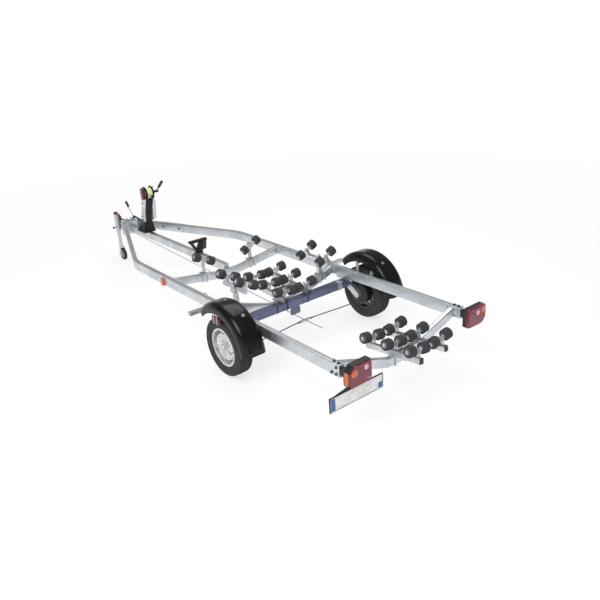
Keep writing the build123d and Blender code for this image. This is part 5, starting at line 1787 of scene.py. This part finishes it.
@dataclass
class Studio:
    """A pale floor, soft light and the camera."""

    floor_half: float = 40.0
    camera_at: Point = (-4480.24, 3456.96, 2868.3)
    yaw: float = -0.65402
    pitch: float = -0.4056
    roll: float = -0.07051
    focal_px: float = 649.23
    frame_px: float = 600.0
    fill: float = 0.72
    horizon: tuple[float, float] = (0.02, 0.35)
    ceiling: float = 0.24
    lamps: tuple[Softbox, ...] = (Softbox("key", (-3.5, 3.5, 5.0), (-0.8, 0.2, 0.3), 3.0, 170.0),
                                  Softbox("top", (1.0, -1.5, 6.0), (0.0, 0.0, 0.4), 4.0, 120.0))

    def build(self) -> None:
        """Builds the floor, the world and lamps, and the camera."""
        mesh = bpy.data.meshes.new("studio_floor")
        half = self.floor_half
        mesh.from_pydata([(-half, -half, 0), (half, -half, 0), (half, half, 0), (-half, half, 0)], [], [(0, 1, 2, 3)])
        floor = bpy.data.objects.new("studio_floor", mesh)
        mesh.materials.append(FloorPaint("studio_floor_paint", "#fbfbfb").material())
        bpy.context.scene.collection.objects.link(floor)
        self.world()
        self.light()
        self.camera()

    def world(self) -> None:
        """Sets the world: white to the camera, an even fill to surfaces, and darker overhead to mirrors."""
        world = bpy.data.worlds.new("studio_world")
        bpy.context.scene.world = world
        world.use_nodes = True
        tree = world.node_tree
        tree.nodes.clear()
        white = (1, 1, 1, 1)
        low, high = self.horizon
        rays = node(tree, "ShaderNodeLightPath")
        height = node(tree, "ShaderNodeSeparateXYZ", Vector=node(tree, "ShaderNodeTexCoord").outputs["Generated"])
        overhead = node(tree, "ShaderNodeMapRange", {"From Min": low, "From Max": high, "To Min": 1.0,
                                                     "To Max": self.ceiling}, Value=height.outputs["Z"])
        sky = node(tree, "ShaderNodeBackground", {"Color": white}, Strength=overhead.outputs[0])
        fill = node(tree, "ShaderNodeBackground", {"Color": white, "Strength": self.fill})
        backdrop = node(tree, "ShaderNodeBackground", {"Color": white, "Strength": 1.0})
        glossy = node(tree, "ShaderNodeMixShader", None, i0=rays.outputs["Is Glossy Ray"], i1=fill.outputs[0],
                      i2=sky.outputs[0])
        seen = node(tree, "ShaderNodeMixShader", None, i0=rays.outputs["Is Camera Ray"], i1=glossy.outputs[0],
                    i2=backdrop.outputs[0])
        node(tree, "ShaderNodeOutputWorld", None, Surface=seen.outputs[0])

    def light(self) -> None:
        """Hangs the soft lamps, each turned so that its -Z looks at its aim."""
        scene = bpy.context.scene
        for box in self.lamps:
            lamp = bpy.data.lights.new(f"{box.name}_softbox", "AREA")
            lamp.size, lamp.energy = box.size, box.power
            thing = bpy.data.objects.new(f"{box.name}_softbox", lamp)
            thing.location = box.spot
            thing.rotation_euler = (Vector(box.aim) - Vector(box.spot)).to_track_quat("-Z", "Y").to_euler()
            scene.collection.objects.link(thing)
        scene.view_settings.view_transform = "Standard"

    def camera(self) -> None:
        """Places the camera; its turn is yaw about Z, then pitch, then roll about the view."""
        data = bpy.data.cameras.new("studio_camera")
        data.sensor_width = 36.0
        data.sensor_fit = "HORIZONTAL"
        data.lens = self.focal_px / self.frame_px * data.sensor_width
        data.clip_end = 200.0
        cy, sy, cp, sp = math.cos(self.yaw), math.sin(self.yaw), math.cos(self.pitch), math.sin(self.pitch)
        ahead = Vector((cp * cy, cp * sy, sp))
        right = Vector((sy, -cy, 0.0))
        up = right.cross(ahead)
        cr, sr = math.cos(self.roll), math.sin(self.roll)
        right, up = cr * right + sr * up, cr * up - sr * right
        aim = Matrix((right, up, -ahead)).transposed().to_4x4()
        camera = bpy.data.objects.new("studio_camera", data)
        x, y, z = self.camera_at
        spot = Vector((x / MM_PER_M + WHEEL_LINE_M, y / MM_PER_M, z / MM_PER_M))
        camera.matrix_world = Matrix.Translation(spot) @ aim
        bpy.context.scene.collection.objects.link(camera)
        bpy.context.scene.camera = camera


def main() -> None:
    """Builds the trailer's pieces in order, then the studio."""
    logging.basicConfig(level=logging.INFO, format="%(name)s: %(message)s")
    parts = [Rails(), Crossmembers(), Axle(), *[RoadWheel(side) for side in Side], Fenders(), Cradles(), Lamps(),
             Winch(), KeelRest(), Coupling(), Jockey()]
    for part in parts:
        part.build()
        LOG.info("built %s", type(part).__name__)
    Studio().build()


if __name__ == "__main__":
    main()
